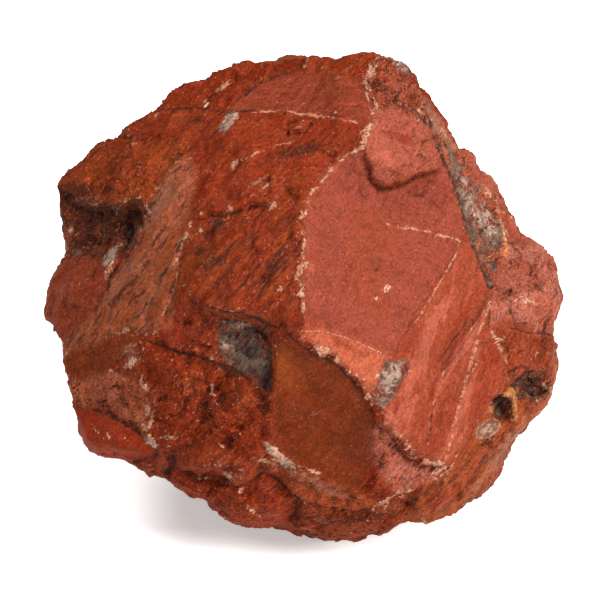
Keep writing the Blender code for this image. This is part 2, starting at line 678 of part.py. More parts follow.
def carved(seen):
    """What the small ledges and folds add to the height of points of the view."""
    spots = in_picture(seen)
    wander = [noise.fractal(Vector(spot) / WANDER_SIZE, 1.0, 2.0, 3) for spot in seen]
    height = np.zeros(len(seen))
    for rise, width, line in LEDGES:
        way, ends = beside_line(spots, line)
        way += np.multiply(wander, WANDER)
        shape = np.clip(way / LEDGE_DROP, 0, 1) * np.exp(-np.maximum(way, 0) / width)
        height += rise * shape * np.clip(ends / TAPER, 0, 1)
    for rise, width, line in FOLDS:
        way, ends = beside_line(spots, line)
        way += np.multiply(wander, WANDER)
        height += rise * np.exp(-np.abs(way) / width) * np.clip(ends / TAPER, 0, 1)
    return height


def stone_mesh(size):
    """The whole stone as one fine mesh in millimetres, upright and resting on its flat spot, and
    for each of its corners its face's name, the way to its nearest line, and that line's fold."""
    corners, faces, owner, ridges = closed_cage()
    mesh = bpy.data.meshes.new("cage")
    mesh.from_pydata(corners, [], faces)
    mesh = reworked(mesh, "REMESH", {"mode": "VOXEL", "voxel_size": size})
    cage = BVHTree.FromPolygons(corners, faces)
    nearest_ridge = KDTree(len(ridges))
    for k, (spot, _) in enumerate(ridges):
        nearest_ridge.insert(spot, k)
    nearest_ridge.balance()
    kinds = []
    for vertex in mesh.vertices:
        spot, normal, index, _ = cage.find_nearest(vertex.co)
        _, ridge, distance = nearest_ridge.find(spot)
        kinds.append((owner[index], distance, ridges[ridge][1]))
        bulge = rounded(distance, FACES.get(owner[index], BACK))
        vertex.co = to_stone(spot + normal * bulge)
    for vertex in mesh.vertices:
        vertex.co = cut_flat(vertex.co)
    mesh.update()
    heights = carved(np.array([to_view(vertex.co) for vertex in mesh.vertices]))
    for k, (vertex, (name, distance, fold)) in enumerate(zip(mesh.vertices, kinds)):
        if name == "back":
            heights[k] = 0
        heights[k] += relief(to_view(vertex.co), FACES.get(name, BACK), distance, fold)
    normals = [vertex.normal.copy() for vertex in mesh.vertices]
    for vertex, height, normal in zip(mesh.vertices, heights, normals):
        vertex.co += normal * float(height)
        vertex.co.z = max(vertex.co.z, -FLOOR_DEPTH)
    return mesh, kinds


def rest_flat(mesh):
    """Brings the corners round the lowest part exactly on to one flat resting face."""
    for vertex in mesh.vertices:
        if vertex.co.z < REST_BAND - FLOOR_DEPTH:
            vertex.co.z = -FLOOR_DEPTH


def settle(mesh):
    """Centres the stone over the origin, on the floor, and turns millimetres into metres."""
    spots = [vertex.co for vertex in mesh.vertices]
    middle = Vector((
        (min(s.x for s in spots) + max(s.x for s in spots)) / 2,
        (min(s.y for s in spots) + max(s.y for s in spots)) / 2,
        min(s.z for s in spots),
    ))
    mesh.transform(Matrix.Scale(0.001, 4) @ Matrix.Translation(-middle))


def jasper_material():
    material = bpy.data.materials.new("red_jasper")
    material.use_nodes = True
    surface = material.node_tree.nodes["Principled BSDF"]
    surface.inputs["Base Color"].default_value = JASPER_RED
    surface.inputs["Roughness"].default_value = 0.5
    return material


def main():
    for old in list(bpy.data.objects):
        bpy.data.objects.remove(old)
    mesh, _ = stone_mesh(VOXEL)
    mesh = reworked(mesh, "SMOOTH", {"factor": 0.5, "iterations": 2})
    whole = 2 * len(mesh.polygons)
    mesh = reworked(mesh, "DECIMATE", {"ratio": SOLID_TRIANGLES / whole})
    rest_flat(mesh)
    settle(mesh)
    mesh.name = "jasper_stone"
    mesh.materials.append(jasper_material())
    stone = bpy.data.objects.new("jasper_stone", mesh)
    bpy.context.collection.objects.link(stone)
    mesh.update()


if __name__ == "__main__":
    main()
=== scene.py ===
"""The looks of a rough chunk of red jasper, lying on a pale floor in soft studio light.

The stone's form is worked out again at a finer grain, from the same traced lines and face
directions as its solid, and the colours, seams, quartz patches and worn edges are laid over it,
with painted light and shade on its creases, bumps, steps and flutes and a few painted highlights.
Sizes are in millimetres until the finished mesh is turned into metres.
"""

import math

import bpy
import numpy as np
from mathutils import Matrix, Vector, geometry, noise
from mathutils.bvhtree import BVHTree
from mathutils.kdtree import KDTree


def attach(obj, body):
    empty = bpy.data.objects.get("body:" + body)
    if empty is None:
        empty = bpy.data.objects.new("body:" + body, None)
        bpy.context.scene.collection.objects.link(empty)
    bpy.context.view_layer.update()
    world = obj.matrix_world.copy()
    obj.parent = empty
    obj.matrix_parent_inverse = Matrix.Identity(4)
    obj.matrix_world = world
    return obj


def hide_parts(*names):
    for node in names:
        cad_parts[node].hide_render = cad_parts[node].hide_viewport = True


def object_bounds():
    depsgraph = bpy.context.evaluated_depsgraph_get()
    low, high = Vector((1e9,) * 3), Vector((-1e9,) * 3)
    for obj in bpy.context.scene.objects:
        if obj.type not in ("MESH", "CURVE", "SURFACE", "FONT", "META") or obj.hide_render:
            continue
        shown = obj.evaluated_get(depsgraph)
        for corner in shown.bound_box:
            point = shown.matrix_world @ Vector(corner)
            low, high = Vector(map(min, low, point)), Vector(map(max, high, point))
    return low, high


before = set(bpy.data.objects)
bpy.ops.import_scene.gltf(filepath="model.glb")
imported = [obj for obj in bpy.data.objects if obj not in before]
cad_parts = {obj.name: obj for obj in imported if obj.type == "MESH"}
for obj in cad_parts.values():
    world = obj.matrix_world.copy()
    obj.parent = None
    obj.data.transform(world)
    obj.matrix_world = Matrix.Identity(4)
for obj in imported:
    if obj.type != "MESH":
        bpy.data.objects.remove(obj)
solid_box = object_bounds()

# Driving sizes, in millimetres and degrees
STONE_WIDTH = 70.0
SIGHT_DOWN_DEG = 35.0
SIGHT_DISTANCE = 500.0

# The back: each ring's size against the outline, how far it lies behind it and hangs below it,
# and how many corners of the outline it averages to each side
NEAREST_DEPTH = 15.0
BACK_RINGS = [
    (0.975, 5.0, 0.6, 1), (0.91, 13.0, 2.4, 5), (0.75, 22.0, 6.5, 10), (0.4, 29.0, 11.0, 16),
]
BACK_DEPTH = 31.0
BACK_SAG = 13.0
# Its fractures: which way each faces round the stone and up, and how far out it lies
BACK_FRACTURES = [
    (97, 14, 31.0), (58, -14, 34.5), (132, -18, 33.0), (88, -36, 35.0), (38, -40, 36.5),
    (152, -38, 36.0), (70, -2, 32.0), (120, 0, 31.5), (20, -30, 38.0), (172, -22, 36.5),
    (112, -58, 38.5), (10, -58, 37.0), (165, -60, 36.0), (100, -16, 31.5),
]
FLOOR_DEPTH = 36.3
REST_BAND = 0.12

# The broken surface: heights and sizes of its rolls, scoops, facets, crumbs, ribs and edge
# chips. A level is what is taken off a pattern so that it lies evenly about the face.
ROLL_HEIGHT = 0.22
ROLL_SIZE = 6.0
SCOOP_HEIGHT = 0.55
SCOOP_SIZE = 5.0
SCOOP_LEVEL = 0.25
HOLLOW_HEIGHT = 3.2
HOLLOW_SIZE = 13.0
HOLLOW_LEVEL = 0.45
FACET_SIZE = 3.4
FACET_LEAN = 0.38
FACET_LENGTH = 2.0
FACET_ROUGH = 1.2
FACET_MIX = 31.0
CRUMB_HEIGHT = 0.5
CRUMB_SIZE = 1.9
CRUMB_FROM = 1.2
GRAIN_DEG = 56.0
GRAIN_SIZE = 1.3
GRAIN_LENGTH = 9.0
CHIP_DEPTH = 1.2
CHIP_SIZE = 2.2
CHIP_LEVEL = 0.15
CHIP_REACH = 0.8
RIDGE_STEP = 0.5
# Near the traced lines the relief falls to this share, over this width
EDGE_SHARE = 0.35
EDGE_WIDTH = 1.3
# How wide a ledge's drop is, how far from their ends ledges and folds reach full height, and how
# far and how often they wander from their lines
LEDGE_DROP = 0.35
TAPER = 2.5
WANDER = 0.45
WANDER_SIZE = 1.8

# How firmly each face keeps its direction, and each line its evenness, against staying flat
FIRMNESS = 5.0
EVENNESS = 1.2
LEAST_SPREAD = 0.3
HOLD = 0.01

# The photograph's frame, in pixels: the middle of the picture, and the stone's width in it
PHOTO_MIDDLE = 300.0
PHOTO_STONE_WIDTH = 518.0
MM_PER_PIXEL = STONE_WIDTH / PHOTO_STONE_WIDTH

# The outline, clockwise from the peak, in pixels of the photograph
OUTLINE = [
    (371, 50), (382, 53), (396, 58), (407, 64), (415, 71), (422, 86), (432, 102), (444, 117),
    (453, 132), (458, 145), (466, 149), (474, 155), (480, 169), (491, 174), (499, 182), (502, 193),
    (507, 203), (516, 218), (523, 232), (532, 238), (543, 247), (551, 253), (555, 264), (559, 277),
    (561, 299), (558, 315), (553, 335), (558, 343), (555, 356), (554, 377), (549, 394), (542, 404),
    (532, 420), (516, 437), (509, 451), (500, 466), (494, 484), (487, 492), (472, 503), (449, 517),
    (427, 526), (411, 522), (401, 526), (386, 532), (357, 541), (338, 544), (325, 541), (315, 534),
    (300, 530), (287, 524), (268, 528), (251, 529), (235, 526), (224, 519), (210, 509), (203, 501),
    (188, 494), (176, 485), (166, 479), (153, 474), (138, 470), (131, 464), (119, 459), (103, 458),
    (90, 453), (82, 445), (77, 430), (76, 419), (71, 402), (69, 392), (66, 378), (61, 363),
    (63, 343), (52, 333), (46, 323), (43, 315), (47, 300), (50, 279), (61, 258), (66, 251),
    (68, 243), (66, 230), (61, 212), (57, 201), (56, 187), (67, 170), (84, 159), (94, 142),
    (107, 136), (118, 134), (120, 127), (130, 120), (147, 111), (155, 110), (161, 99), (172, 89),
    (184, 83), (203, 79), (212, 73), (230, 65), (249, 59), (264, 62), (277, 62), (300, 56),
    (323, 56), (338, 58), (350, 54),
]

# The ridges and creases between the fracture faces, in pixels of the photograph
LINES = {
    "main_ridge": [
        (371, 50), (378, 57), (371, 67), (366, 77), (367, 92), (371, 109), (373, 121), (367, 131),
        (365, 146), (346, 155), (335, 167), (322, 181), (311, 194), (304, 210), (301, 228),
        (305, 240), (303, 262), (301, 276), (303, 300), (304, 316), (302, 330),
    ],
    "shoulder_ridge": [
        (378, 57), (394, 71), (411, 83), (416, 90), (423, 100), (430, 112), (443, 131), (454, 146),
        (459, 159), (467, 169), (477, 182), (486, 189), (494, 199), (501, 218), (505, 234),
        (502, 252), (497, 272), (492, 292),
    ],
    "shoulder_split": [(454, 146), (458, 145)],
    "vein_left": [
        (430, 112), (432, 128), (439, 145), (449, 165), (453, 177), (457, 193), (461, 210),
        (467, 228), (471, 246), (479, 262), (486, 280), (492, 292),
    ],
    "knobs_foot": [(371, 109), (385, 108), (400, 103), (411, 107), (420, 116), (432, 128)],
    "ledge_top": [
        (365, 146), (370, 160), (375, 177), (381, 184), (399, 180), (411, 175), (424, 172),
        (437, 169), (449, 165),
    ],
    "ledge_foot": [
        (365, 146), (366, 162), (371, 181), (380, 190), (400, 186), (412, 180), (424, 176),
        (437, 171), (449, 165),
    ],
    "fan_left": [
        (467, 228), (460, 243), (452, 262), (444, 276), (430, 296), (413, 318), (404, 340),
        (392, 357),
    ],
    "fan_ridge": [
        (492, 292), (478, 320), (462, 340), (448, 352), (440, 385), (433, 417), (423, 449),
        (420, 457),
    ],
    "fan_trough": [(490, 310), (477, 346), (470, 375), (464, 400), (450, 437), (443, 463)],
    "fan_right": [
        (492, 292), (490, 310), (493, 325), (499, 344), (507, 361), (508, 384), (500, 396),
        (491, 408), (476, 424), (464, 445), (455, 462), (448, 474),
    ],
    "chip_top": [
        (302, 330), (312, 331), (322, 329), (344, 336), (362, 344), (374, 352), (388, 356),
        (392, 357),
    ],
    "grey_patch": [
        (392, 357), (410, 364), (406, 374), (400, 385), (391, 399), (384, 407), (369, 399),
        (376, 389), (380, 374), (386, 361), (392, 357),
    ],
    "chip_foot": [
        (302, 330), (309, 339), (320, 350), (334, 356), (348, 370), (362, 381), (369, 399),
    ],
    "notch_left": [(302, 330), (296, 338), (293, 346)],
    "tan_top": [
        (277, 345), (293, 346), (306, 352), (319, 358), (334, 362), (344, 373), (355, 386),
        (369, 399), (374, 428), (373, 445), (375, 460), (368, 471), (363, 480), (357, 487),
    ],
    "tan_left": [
        (277, 329), (277, 345), (275, 368), (272, 394), (271, 420), (269, 435), (270, 446),
    ],
    "tan_bottom": [
        (270, 446), (283, 456), (299, 467), (311, 474), (328, 478), (346, 484), (357, 487),
        (367, 494), (376, 503),
    ],
    "chip_gap": [(374, 428), (382, 421)],
    "step_top": [
        (384, 407), (387, 422), (394, 432), (408, 446), (420, 457), (432, 461), (443, 463),
        (448, 474),
    ],
    "step_foot": [
        (384, 407), (382, 421), (389, 433), (399, 450), (410, 462), (419, 466), (431, 470),
        (448, 474),
    ],
    "lower_chips": [(375, 460), (380, 468), (385, 481), (399, 493)],
    "lip": [(448, 474), (434, 480), (424, 484), (413, 491), (399, 493), (385, 499), (376, 503)],
    "lip_notch": [(424, 484), (416, 503), (410, 511)],
    "strip_top": [(376, 503), (392, 504), (410, 511), (421, 517), (427, 526)],
    "strip_low": [
        (250, 459), (264, 471), (280, 480), (300, 497), (319, 501), (338, 507), (360, 508),
        (380, 509), (398, 515), (411, 522),
    ],
    "strip_left": [(250, 459), (262, 452), (270, 446)],
    "upper_pit": [
        (549, 394), (540, 402), (529, 400), (519, 397), (508, 384), (519, 375), (531, 369),
        (543, 371), (554, 377),
    ],
    "lower_pit": [
        (500, 396), (511, 398), (513, 410), (509, 423), (500, 421), (494, 415), (491, 408),
    ],
    "right_divide": [(493, 325), (505, 318), (520, 322), (537, 332), (553, 335)],
    "lump_top": [(505, 234), (512, 243), (520, 240), (532, 238)],
    "recess_lip": [(207, 308), (218, 312), (238, 312), (254, 319), (266, 323), (277, 329)],
    "recess_foot": [
        (207, 308), (219, 319), (238, 320), (254, 327), (268, 335), (270, 345), (269, 365),
        (267, 383), (272, 394),
    ],
    "recess_corner": [(277, 329), (268, 335)],
    "grey_edge": [(219, 319), (216, 330), (219, 342), (218, 359)],
    "crease": [
        (163, 341), (177, 351), (196, 353), (203, 357), (218, 359), (228, 364), (247, 377),
        (256, 385), (266, 392), (272, 394),
    ],
    "brown_right": [
        (184, 238), (181, 251), (178, 268), (176, 285), (175, 302), (174, 320), (165, 328),
        (163, 341),
    ],
    "red_top": [(175, 302), (190, 303), (207, 308)],
    "edge_mid": [
        (184, 238), (199, 228), (212, 219), (225, 214), (245, 211), (262, 205), (276, 207),
        (290, 210), (304, 210),
    ],
    "brown_top": [(190, 163), (197, 175), (193, 195), (191, 215), (184, 238)],
    "brown_left": [
        (190, 163), (178, 160), (166, 175), (159, 195), (150, 212), (143, 226), (138, 245),
        (124, 258), (113, 277), (103, 295), (96, 310), (76, 329), (63, 343),
    ],
    "block_top": [(118, 134), (130, 139), (150, 141), (168, 144), (185, 143), (190, 163)],
    "pit_top": [
        (56, 187), (68, 195), (82, 200), (100, 205), (119, 206), (127, 199), (140, 199),
        (150, 212),
    ],
    "pit_bottom": [(61, 258), (76, 256), (89, 258), (100, 260), (116, 256), (124, 258)],
    "vein_line": [
        (161, 99), (172, 109), (201, 108), (228, 113), (251, 111), (283, 111), (300, 114),
        (325, 116), (342, 119), (358, 122), (373, 121),
    ],
    "groove_top": [
        (228, 113), (240, 98), (255, 87), (275, 77), (295, 71), (319, 68), (338, 75), (366, 77),
    ],
    "peak_left": [(338, 75), (345, 66), (350, 54)],
    "orange_top": [
        (61, 363), (66, 353), (76, 349), (87, 346), (98, 341), (108, 335), (122, 332), (134, 328),
        (146, 333), (157, 331), (165, 328),
    ],
    "orange_low": [
        (66, 378), (78, 380), (88, 380), (99, 375), (110, 372), (115, 363), (124, 354), (133, 347),
        (143, 341), (146, 333),
    ],
    "chip_ridge": [
        (110, 372), (120, 375), (139, 381), (147, 388), (151, 403), (149, 418), (145, 428),
        (151, 439), (158, 447),
    ],
    "lump_a_top": [
        (71, 402), (82, 407), (93, 408), (105, 411), (117, 418), (135, 427), (146, 438),
        (158, 447),
    ],
    "lump_a_foot": [(131, 464), (143, 459), (156, 455), (158, 447)],
    "lump_b_left": [(158, 447), (168, 455), (170, 466), (166, 479)],
    "lump_b_top": [
        (158, 447), (171, 452), (181, 447), (198, 442), (215, 443), (235, 449), (250, 459),
    ],
    "lump_b_foot": [
        (170, 466), (185, 474), (199, 476), (205, 480), (218, 477), (230, 483), (240, 486),
        (252, 479), (264, 471),
    ],
    "lump_c_right": [(300, 497), (297, 510), (287, 524)],
}

# Small ledges within the faces: how high the side to the left of the line stands, over what width
# it runs back to nothing, and the line in pixels of the photograph
LEDGES = [
    (0.8, 4.0, [(231, 168), (243, 160), (258, 151), (272, 146), (284, 141)]),
    (0.8, 4.0, [(236, 208), (250, 197), (264, 184), (280, 172), (292, 166)]),
    (1.0, 4.0, [(190, 229), (203, 220), (214, 212), (228, 215), (243, 210), (262, 205), (282, 208)]),
    (0.8, 3.5, [(160, 322), (170, 300), (175, 280), (180, 256), (187, 238)]),
    (0.8, 3.0, [(148, 340), (164, 342), (178, 351), (196, 354), (210, 360), (226, 364)]),
    (1.0, 2.5, [(274, 478), (288, 489), (301, 499), (320, 502), (345, 506), (376, 507), (400, 512)]),
    (0.6, 2.0, [(286, 470), (312, 480), (336, 486), (356, 495), (372, 503)]),
    (0.4, 2.0, [(300, 486), (322, 490), (346, 498)]),
    (0.6, 3.0, [(175, 150), (160, 160), (138, 163), (112, 158), (101, 166)]),
    (0.7, 3.0, [(85, 196), (92, 178), (101, 166)]),
    (0.9, 4.0, [(423, 458), (429, 440), (433, 414), (443, 394), (454, 376)]),
    (0.5, 2.5, [(384, 142), (396, 128), (410, 122), (426, 134), (436, 148)]),
    (0.8, 2.0, [(64, 212), (80, 208), (96, 216), (112, 212), (126, 220), (138, 214), (150, 222)]),
    (0.7, 2.5, [(126, 372), (140, 380), (149, 392), (152, 410), (146, 430)]),
    (0.4, 3.0, [(470, 280), (482, 262), (478, 244)]),
]

# Sharp folds within the faces, in the same way: crests that stand up and creases that are cut in
FOLDS = [
    (-1.1, 2.0, [(478, 296), (465, 324), (452, 345), (441, 358), (435, 380), (428, 400)]),
    (1.2, 2.2, [(491, 300), (480, 318), (468, 336), (459, 353), (452, 374)]),
    (1.2, 1.8, [(479, 343), (470, 372), (461, 400), (455, 424), (449, 441), (444, 460)]),
    (-1.0, 2.0, [(492, 336), (488, 362), (478, 392), (468, 412), (458, 436)]),
    (0.6, 1.6, [(440, 278), (426, 306), (416, 330), (408, 352)]),
    (-0.8, 0.7, [(160, 448), (170, 456), (171, 468), (167, 480)]),
    (-0.7, 0.8, [(168, 478), (186, 476), (199, 478), (216, 479), (230, 484), (244, 486)]),
    (-0.8, 0.8, [(252, 478), (264, 474), (282, 488), (298, 503), (295, 514), (288, 524)]),
    (-0.5, 0.6, [(92, 408), (106, 412), (118, 419), (136, 428), (148, 439)]),
    (-0.6, 0.7, [(268, 392), (265, 415), (261, 435), (257, 452)]),
    (-0.5, 0.7, [(122, 258), (110, 280), (97, 303), (84, 318), (70, 330)]),
    (-0.6, 0.5, [(495, 176), (497, 190), (500, 198)]),
    (-0.4, 0.5, [(302, 236), (284, 252), (268, 270), (252, 290)]),
    (-0.5, 0.7, [(156, 111), (148, 121), (140, 127), (130, 137)]),
    (0.6, 1.2, [(533, 417), (515, 431), (500, 448), (488, 470), (479, 498)]),
    (-0.4, 0.8, [(512, 430), (494, 446), (480, 465), (470, 482)]),
    (0.4, 1.0, [(455, 478), (440, 492), (430, 512)]),
    (-0.4, 0.6, [(395, 461), (398, 478), (401, 490)]),
    (0.5, 0.9, [(382, 440), (386, 458), (384, 474)]),
    (0.4, 0.9, [(415, 467), (410, 480), (404, 491)]),
    (0.8, 1.8, [(96, 418), (106, 428), (118, 440), (126, 456)]),
    (0.6, 1.8, [(200, 446), (212, 460), (216, 474)]),
    (0.6, 1.8, [(214, 496), (238, 498), (262, 500), (286, 506)]),
    (0.5, 1.4, [(320, 512), (346, 518), (380, 520), (404, 518)]),
    (-0.5, 0.8, [(505, 268), (514, 280), (516, 300), (512, 318)]),
    (0.5, 1.6, [(530, 244), (540, 268), (544, 296), (538, 322)]),
    (0.5, 1.5, [(205, 92), (220, 100), (244, 96)]),
    (0.5, 1.5, [(62, 270), (74, 284), (78, 304), (70, 320)]),
    (-1.0, 1.0, [(63, 184), (67, 198), (66, 214)]),
    (-1.1, 1.0, [(77, 190), (81, 204), (79, 220)]),
    (-1.2, 1.0, [(96, 196), (98, 210), (94, 228)]),
    (-1.0, 0.9, [(113, 199), (110, 214), (114, 230)]),
    (-0.9, 0.9, [(134, 190), (131, 206), (126, 224)]),
]


class Face:
    """A fracture face: a pixel inside it, how far it is turned to the right and up from facing
    the viewer, how firmly it keeps to that, how far it bulges out over its shoulder width, how
    rough it is, and how much it is ribbed along the grain."""

    def __init__(
        self, seed, right, up, grip=1.0, dome=0.0, shoulder=3.0, rough=1.0, grain=0.0,
    ):
        self.seed = seed
        self.slope = (-math.tan(math.radians(right)), -math.tan(math.radians(up)))
        self.grip = grip
        self.dome = dome
        self.shoulder = shoulder
        self.rough = rough
        self.grain = grain


FACES = {
    "peak_facet": Face((355, 62), -8, 46, grip=4),
    "back_band_top": Face((270, 70), -14, 50),
    "upper_band": Face((310, 92), -10, 36, rough=0.5),
    "upper_left": Face((260, 160), -20, 27, dome=0.8, shoulder=12),
    "block": Face((120, 165), -36, 26, dome=1.0, shoulder=6),
    "left_pit": Face((100, 230), -38, -26, dome=-2.4, shoulder=6, rough=2.2),
    "left_lump": Face((75, 295), -50, 0, dome=1.2, shoulder=5),
    "brown_face": Face((140, 285), -34, 12, rough=0.7, grain=0.3),
    "orange_facet": Face((90, 362), -40, -24, rough=0.4),
    "left_lower": Face((105, 395), -42, -22),
    "lump_a": Face((110, 438), -36, -36, dome=2.0, shoulder=5, rough=0.4),
    "lump_d": Face((150, 466), -20, -48, dome=0.9, shoulder=2.5),
    "lump_b": Face((210, 462), -14, -36, dome=1.9, shoulder=4, rough=0.7),
    "lump_c": Face((250, 505), -12, -50, dome=1.6, shoulder=5, rough=0.8),
    "grainy": Face((210, 400), -20, -26, dome=0.8, shoulder=8, rough=1.6),
    "red_face": Face((190, 330), -26, -12),
    "recess": Face((245, 350), -30, -10, rough=1.8),
    "recess_wall_top": Face((240, 316), -24, -66, grip=2),
    "recess_wall_side": Face((273, 355), -68, -24, grip=2),
    "center_left": Face((235, 265), -22, 12, dome=0.5, shoulder=10, grain=0.2),
    "tan_face": Face((320, 420), -8, -24, dome=-0.7, shoulder=9, rough=0.3),
    "notch": Face((310, 347), -10, -50, grip=0.8, rough=1.5),
    "chip": Face((345, 350), 20, 8, rough=0.8),
    "grey_patch": Face((392, 380), 14, 0, dome=-0.5, shoulder=1, rough=2.0),
    "chips": Face((377, 412), -6, -20, grip=3, rough=1.6),
    "pink_face": Face((350, 260), 27, 17, rough=0.45),
    "fan_left": Face((430, 350), 35, 13, rough=0.5, grain=0.22),
    "fan_trough": Face((450, 390), 22, 2, rough=0.5, grain=0.3),
    "fan_right": Face((485, 370), 36, 2, rough=0.5, grain=0.22),
    "small_pink": Face((410, 150), 30, 22, rough=0.7),
    "ledge_riser": Face((400, 183), 28, -62, grip=1.5),
    "knobs": Face((395, 88), 34, 24, rough=2.1),
    "back_band": Face((428, 100), 64, 30),
    "shoulder": Face((490, 182), 62, 26),
    "vein_band": Face((480, 225), 50, 18, dome=-0.5, shoulder=1.5, rough=1.5),
    "right_upper": Face((525, 280), 52, 12, dome=1.2, shoulder=5, rough=1.3),
    "right_lower": Face((530, 352), 50, -8, dome=0.6, shoulder=3),
    "bottom_right": Face((470, 490), 38, -40, dome=0.6, shoulder=5),
    "upper_pit": Face((530, 385), 44, -20, dome=-2.4, shoulder=2.5, rough=2.0),
    "lower_pit": Face((504, 409), 34, -30, dome=-1.6, shoulder=1.5, rough=1.8),
    "step_riser": Face((398, 442), 16, -56, grip=1.5, rough=1.6),
    "lower_pink": Face((400, 470), 20, -12, rough=1.2),
    "lower_chips": Face((375, 485), 0, -30, rough=1.4),
    "lip_notch": Face((402, 500), 10, -60, grip=2, dome=-0.8, shoulder=1),
    "strip": Face((320, 490), 4, -46, rough=1.2),
    "bottom_strip": Face((340, 525), 6, -60, dome=1.0, shoulder=4, rough=1.3),
}
BACK = Face(None, 0, 0)


def sight_point(pixel):
    """A pixel as millimetres right of and above the middle of the view."""
    return (
        (pixel[0] - PHOTO_MIDDLE) * MM_PER_PIXEL,
        (PHOTO_MIDDLE - pixel[1]) * MM_PER_PIXEL,
    )


def traced_net():
    """The outline and the lines as one triangle net in the view, with each triangle's face."""
    index = {}
    corners = []

    def corner(pixel):
        if pixel not in index:
            index[pixel] = len(corners)
            corners.append(Vector(sight_point(pixel)))
        return index[pixel]

    rim = [corner(pixel) for pixel in OUTLINE]
    edges = []
    for line in LINES.values():
        ends = [corner(pixel) for pixel in line]
        edges += list(zip(ends, ends[1:]))
    points, net_edges, triangles, _, edge_sources, _ = geometry.delaunay_2d_cdt(
        corners, edges, [rim], 1, 1e-4
    )
    walls = {frozenset(e) for e, source in zip(net_edges, edge_sources) if source}
    return np.array(points), np.array(triangles), walls


def face_of_triangles(points, triangles, walls):
    """Spreads each face's name from its seed over the triangles up to the lines."""
    beside = {}
    for t, corners in enumerate(triangles):
        for a, b in zip(corners, np.roll(corners, -1)):
            beside.setdefault(frozenset((a, b)), []).append(t)
    owner = [None] * len(triangles)
    for name, face in FACES.items():
        seed = np.array(sight_point(face.seed))
        start = next(t for t, c in enumerate(triangles) if inside(seed, points[c]))
        waiting = [start]
        while waiting:
            t = waiting.pop()
            if owner[t] is not None:
                continue
            owner[t] = name
            corners = triangles[t]
            for a, b in zip(corners, np.roll(corners, -1)):
                edge = frozenset((a, b))
                if edge not in walls:
                    waiting += [n for n in beside[edge] if owner[n] is None]
    return owner


def inside(point, triangle):
    """Whether a point of the view lies in a triangle that runs anticlockwise."""
    a, b, c = triangle
    return all(
        (q[0] - p[0]) * (point[1] - p[1]) - (q[1] - p[1]) * (point[0] - p[0]) >= 0
        for p, q in ((a, b), (b, c), (c, a))
    )


def solved_depths(points, triangles, owner):
    """How near the viewer each corner is: the depths that keep every face flat and turned as
    told, as nearly as all of them can be met at once."""
    names = list(FACES)
    count = len(points)
    rows, values = [], []

    def add(entries, value, weight):
        row = np.zeros(count + 3 * len(names))
        for column, factor in entries:
            row[column] += factor * weight
        rows.append(row)
        values.append(value * weight)

    for n, name in enumerate(names):
        face = FACES[name]
        corners = np.unique(triangles[[o == name for o in owner]])
        middle = points[corners].mean(axis=0)
        spread = np.abs(points[corners] - middle).mean() + LEAST_SPREAD
        plane = count + 3 * n
        weight = face.grip
        for c in corners:
            x, y = points[c] - middle
            add([(plane, x), (plane + 1, y), (plane + 2, 1.0), (c, -1.0)], 0.0, weight)
        for k in range(2):
            add([(plane + k, 1.0)], face.slope[k], FIRMNESS * spread * face.grip)
    index = {}
    for c in range(count):
        index[tuple(points[c].round(3))] = c
    for line in list(LINES.values()) + [OUTLINE]:
        ends = [index[tuple(np.round(sight_point(pixel), 3))] for pixel in line]
        for before, here, after in zip(ends, ends[1:], ends[2:]):
            add([(before, 0.5), (here, -1.0), (after, 0.5)], 0.0, EVENNESS)
    # Depth counts from nowhere in particular, so the first corner is lightly held at nothing
    add([(0, 1.0)], 0.0, HOLD)
    solution = np.linalg.lstsq(np.array(rows), np.array(values), rcond=None)[0]
    depths = solution[:count]
    return depths - depths.max()


def rim_loop(triangles):
    """The net's border corners in order, anticlockwise as the viewer sees them."""
    sides = [(c[k], c[(k + 1) % 3]) for c in triangles for k in range(3)]
    known = set(sides)
    follow = {a: b for a, b in sides if (b, a) not in known}
    loop = [next(iter(follow))]
    while follow[loop[-1]] != loop[0]:
        loop.append(follow[loop[-1]])
    return loop


def closed_cage():
    """The traced front with its solved depths and the domed back, as one closed shell."""
    points, triangles, walls = traced_net()
    owner = face_of_triangles(points, triangles, walls)
    depths = solved_depths(points, triangles, owner) + NEAREST_DEPTH
    rim = rim_loop(triangles)
    flat = [(x, y, z) for (x, y), z in zip(points, depths)]
    middle = np.mean([flat[r] for r in rim], axis=0)
    faces = [tuple(int(c) for c in corners) for corners in triangles]
    ring = rim
    outline = np.array([flat[r] for r in rim])
    for scale, drop, sag, blend in BACK_RINGS:
        first = len(flat)
        for k in range(len(rim)):
            spread = np.arange(k - blend, k + blend + 1) % len(rim)
            x, y, z = middle + scale * (outline[spread].mean(axis=0) - middle)
            flat.append((x, y - sag, z - drop))
        following = [first + k for k in range(len(rim))]
        for k in range(len(rim)):
            after = (k + 1) % len(rim)
            faces.append((ring[after], ring[k], following[k], following[after]))
            owner.append("back")
        ring = following
    flat.append((middle[0], middle[1] - BACK_SAG, middle[2] - BACK_DEPTH))
    for k in range(len(rim)):
        faces.append((ring[(k + 1) % len(rim)], ring[k], len(flat) - 1))
        owner.append("back")
    corners = [along_sight(Vector(corner)) for corner in flat]
    ridges = ridge_samples(corners, faces, walls)
    return corners, faces, owner, ridges


def along_sight(point):
    """Moves a point of the view to where the camera's sight line through it really runs."""
    shrink = (SIGHT_DISTANCE - point.z) / SIGHT_DISTANCE
    return Vector((point.x * shrink, point.y * shrink, point.z))


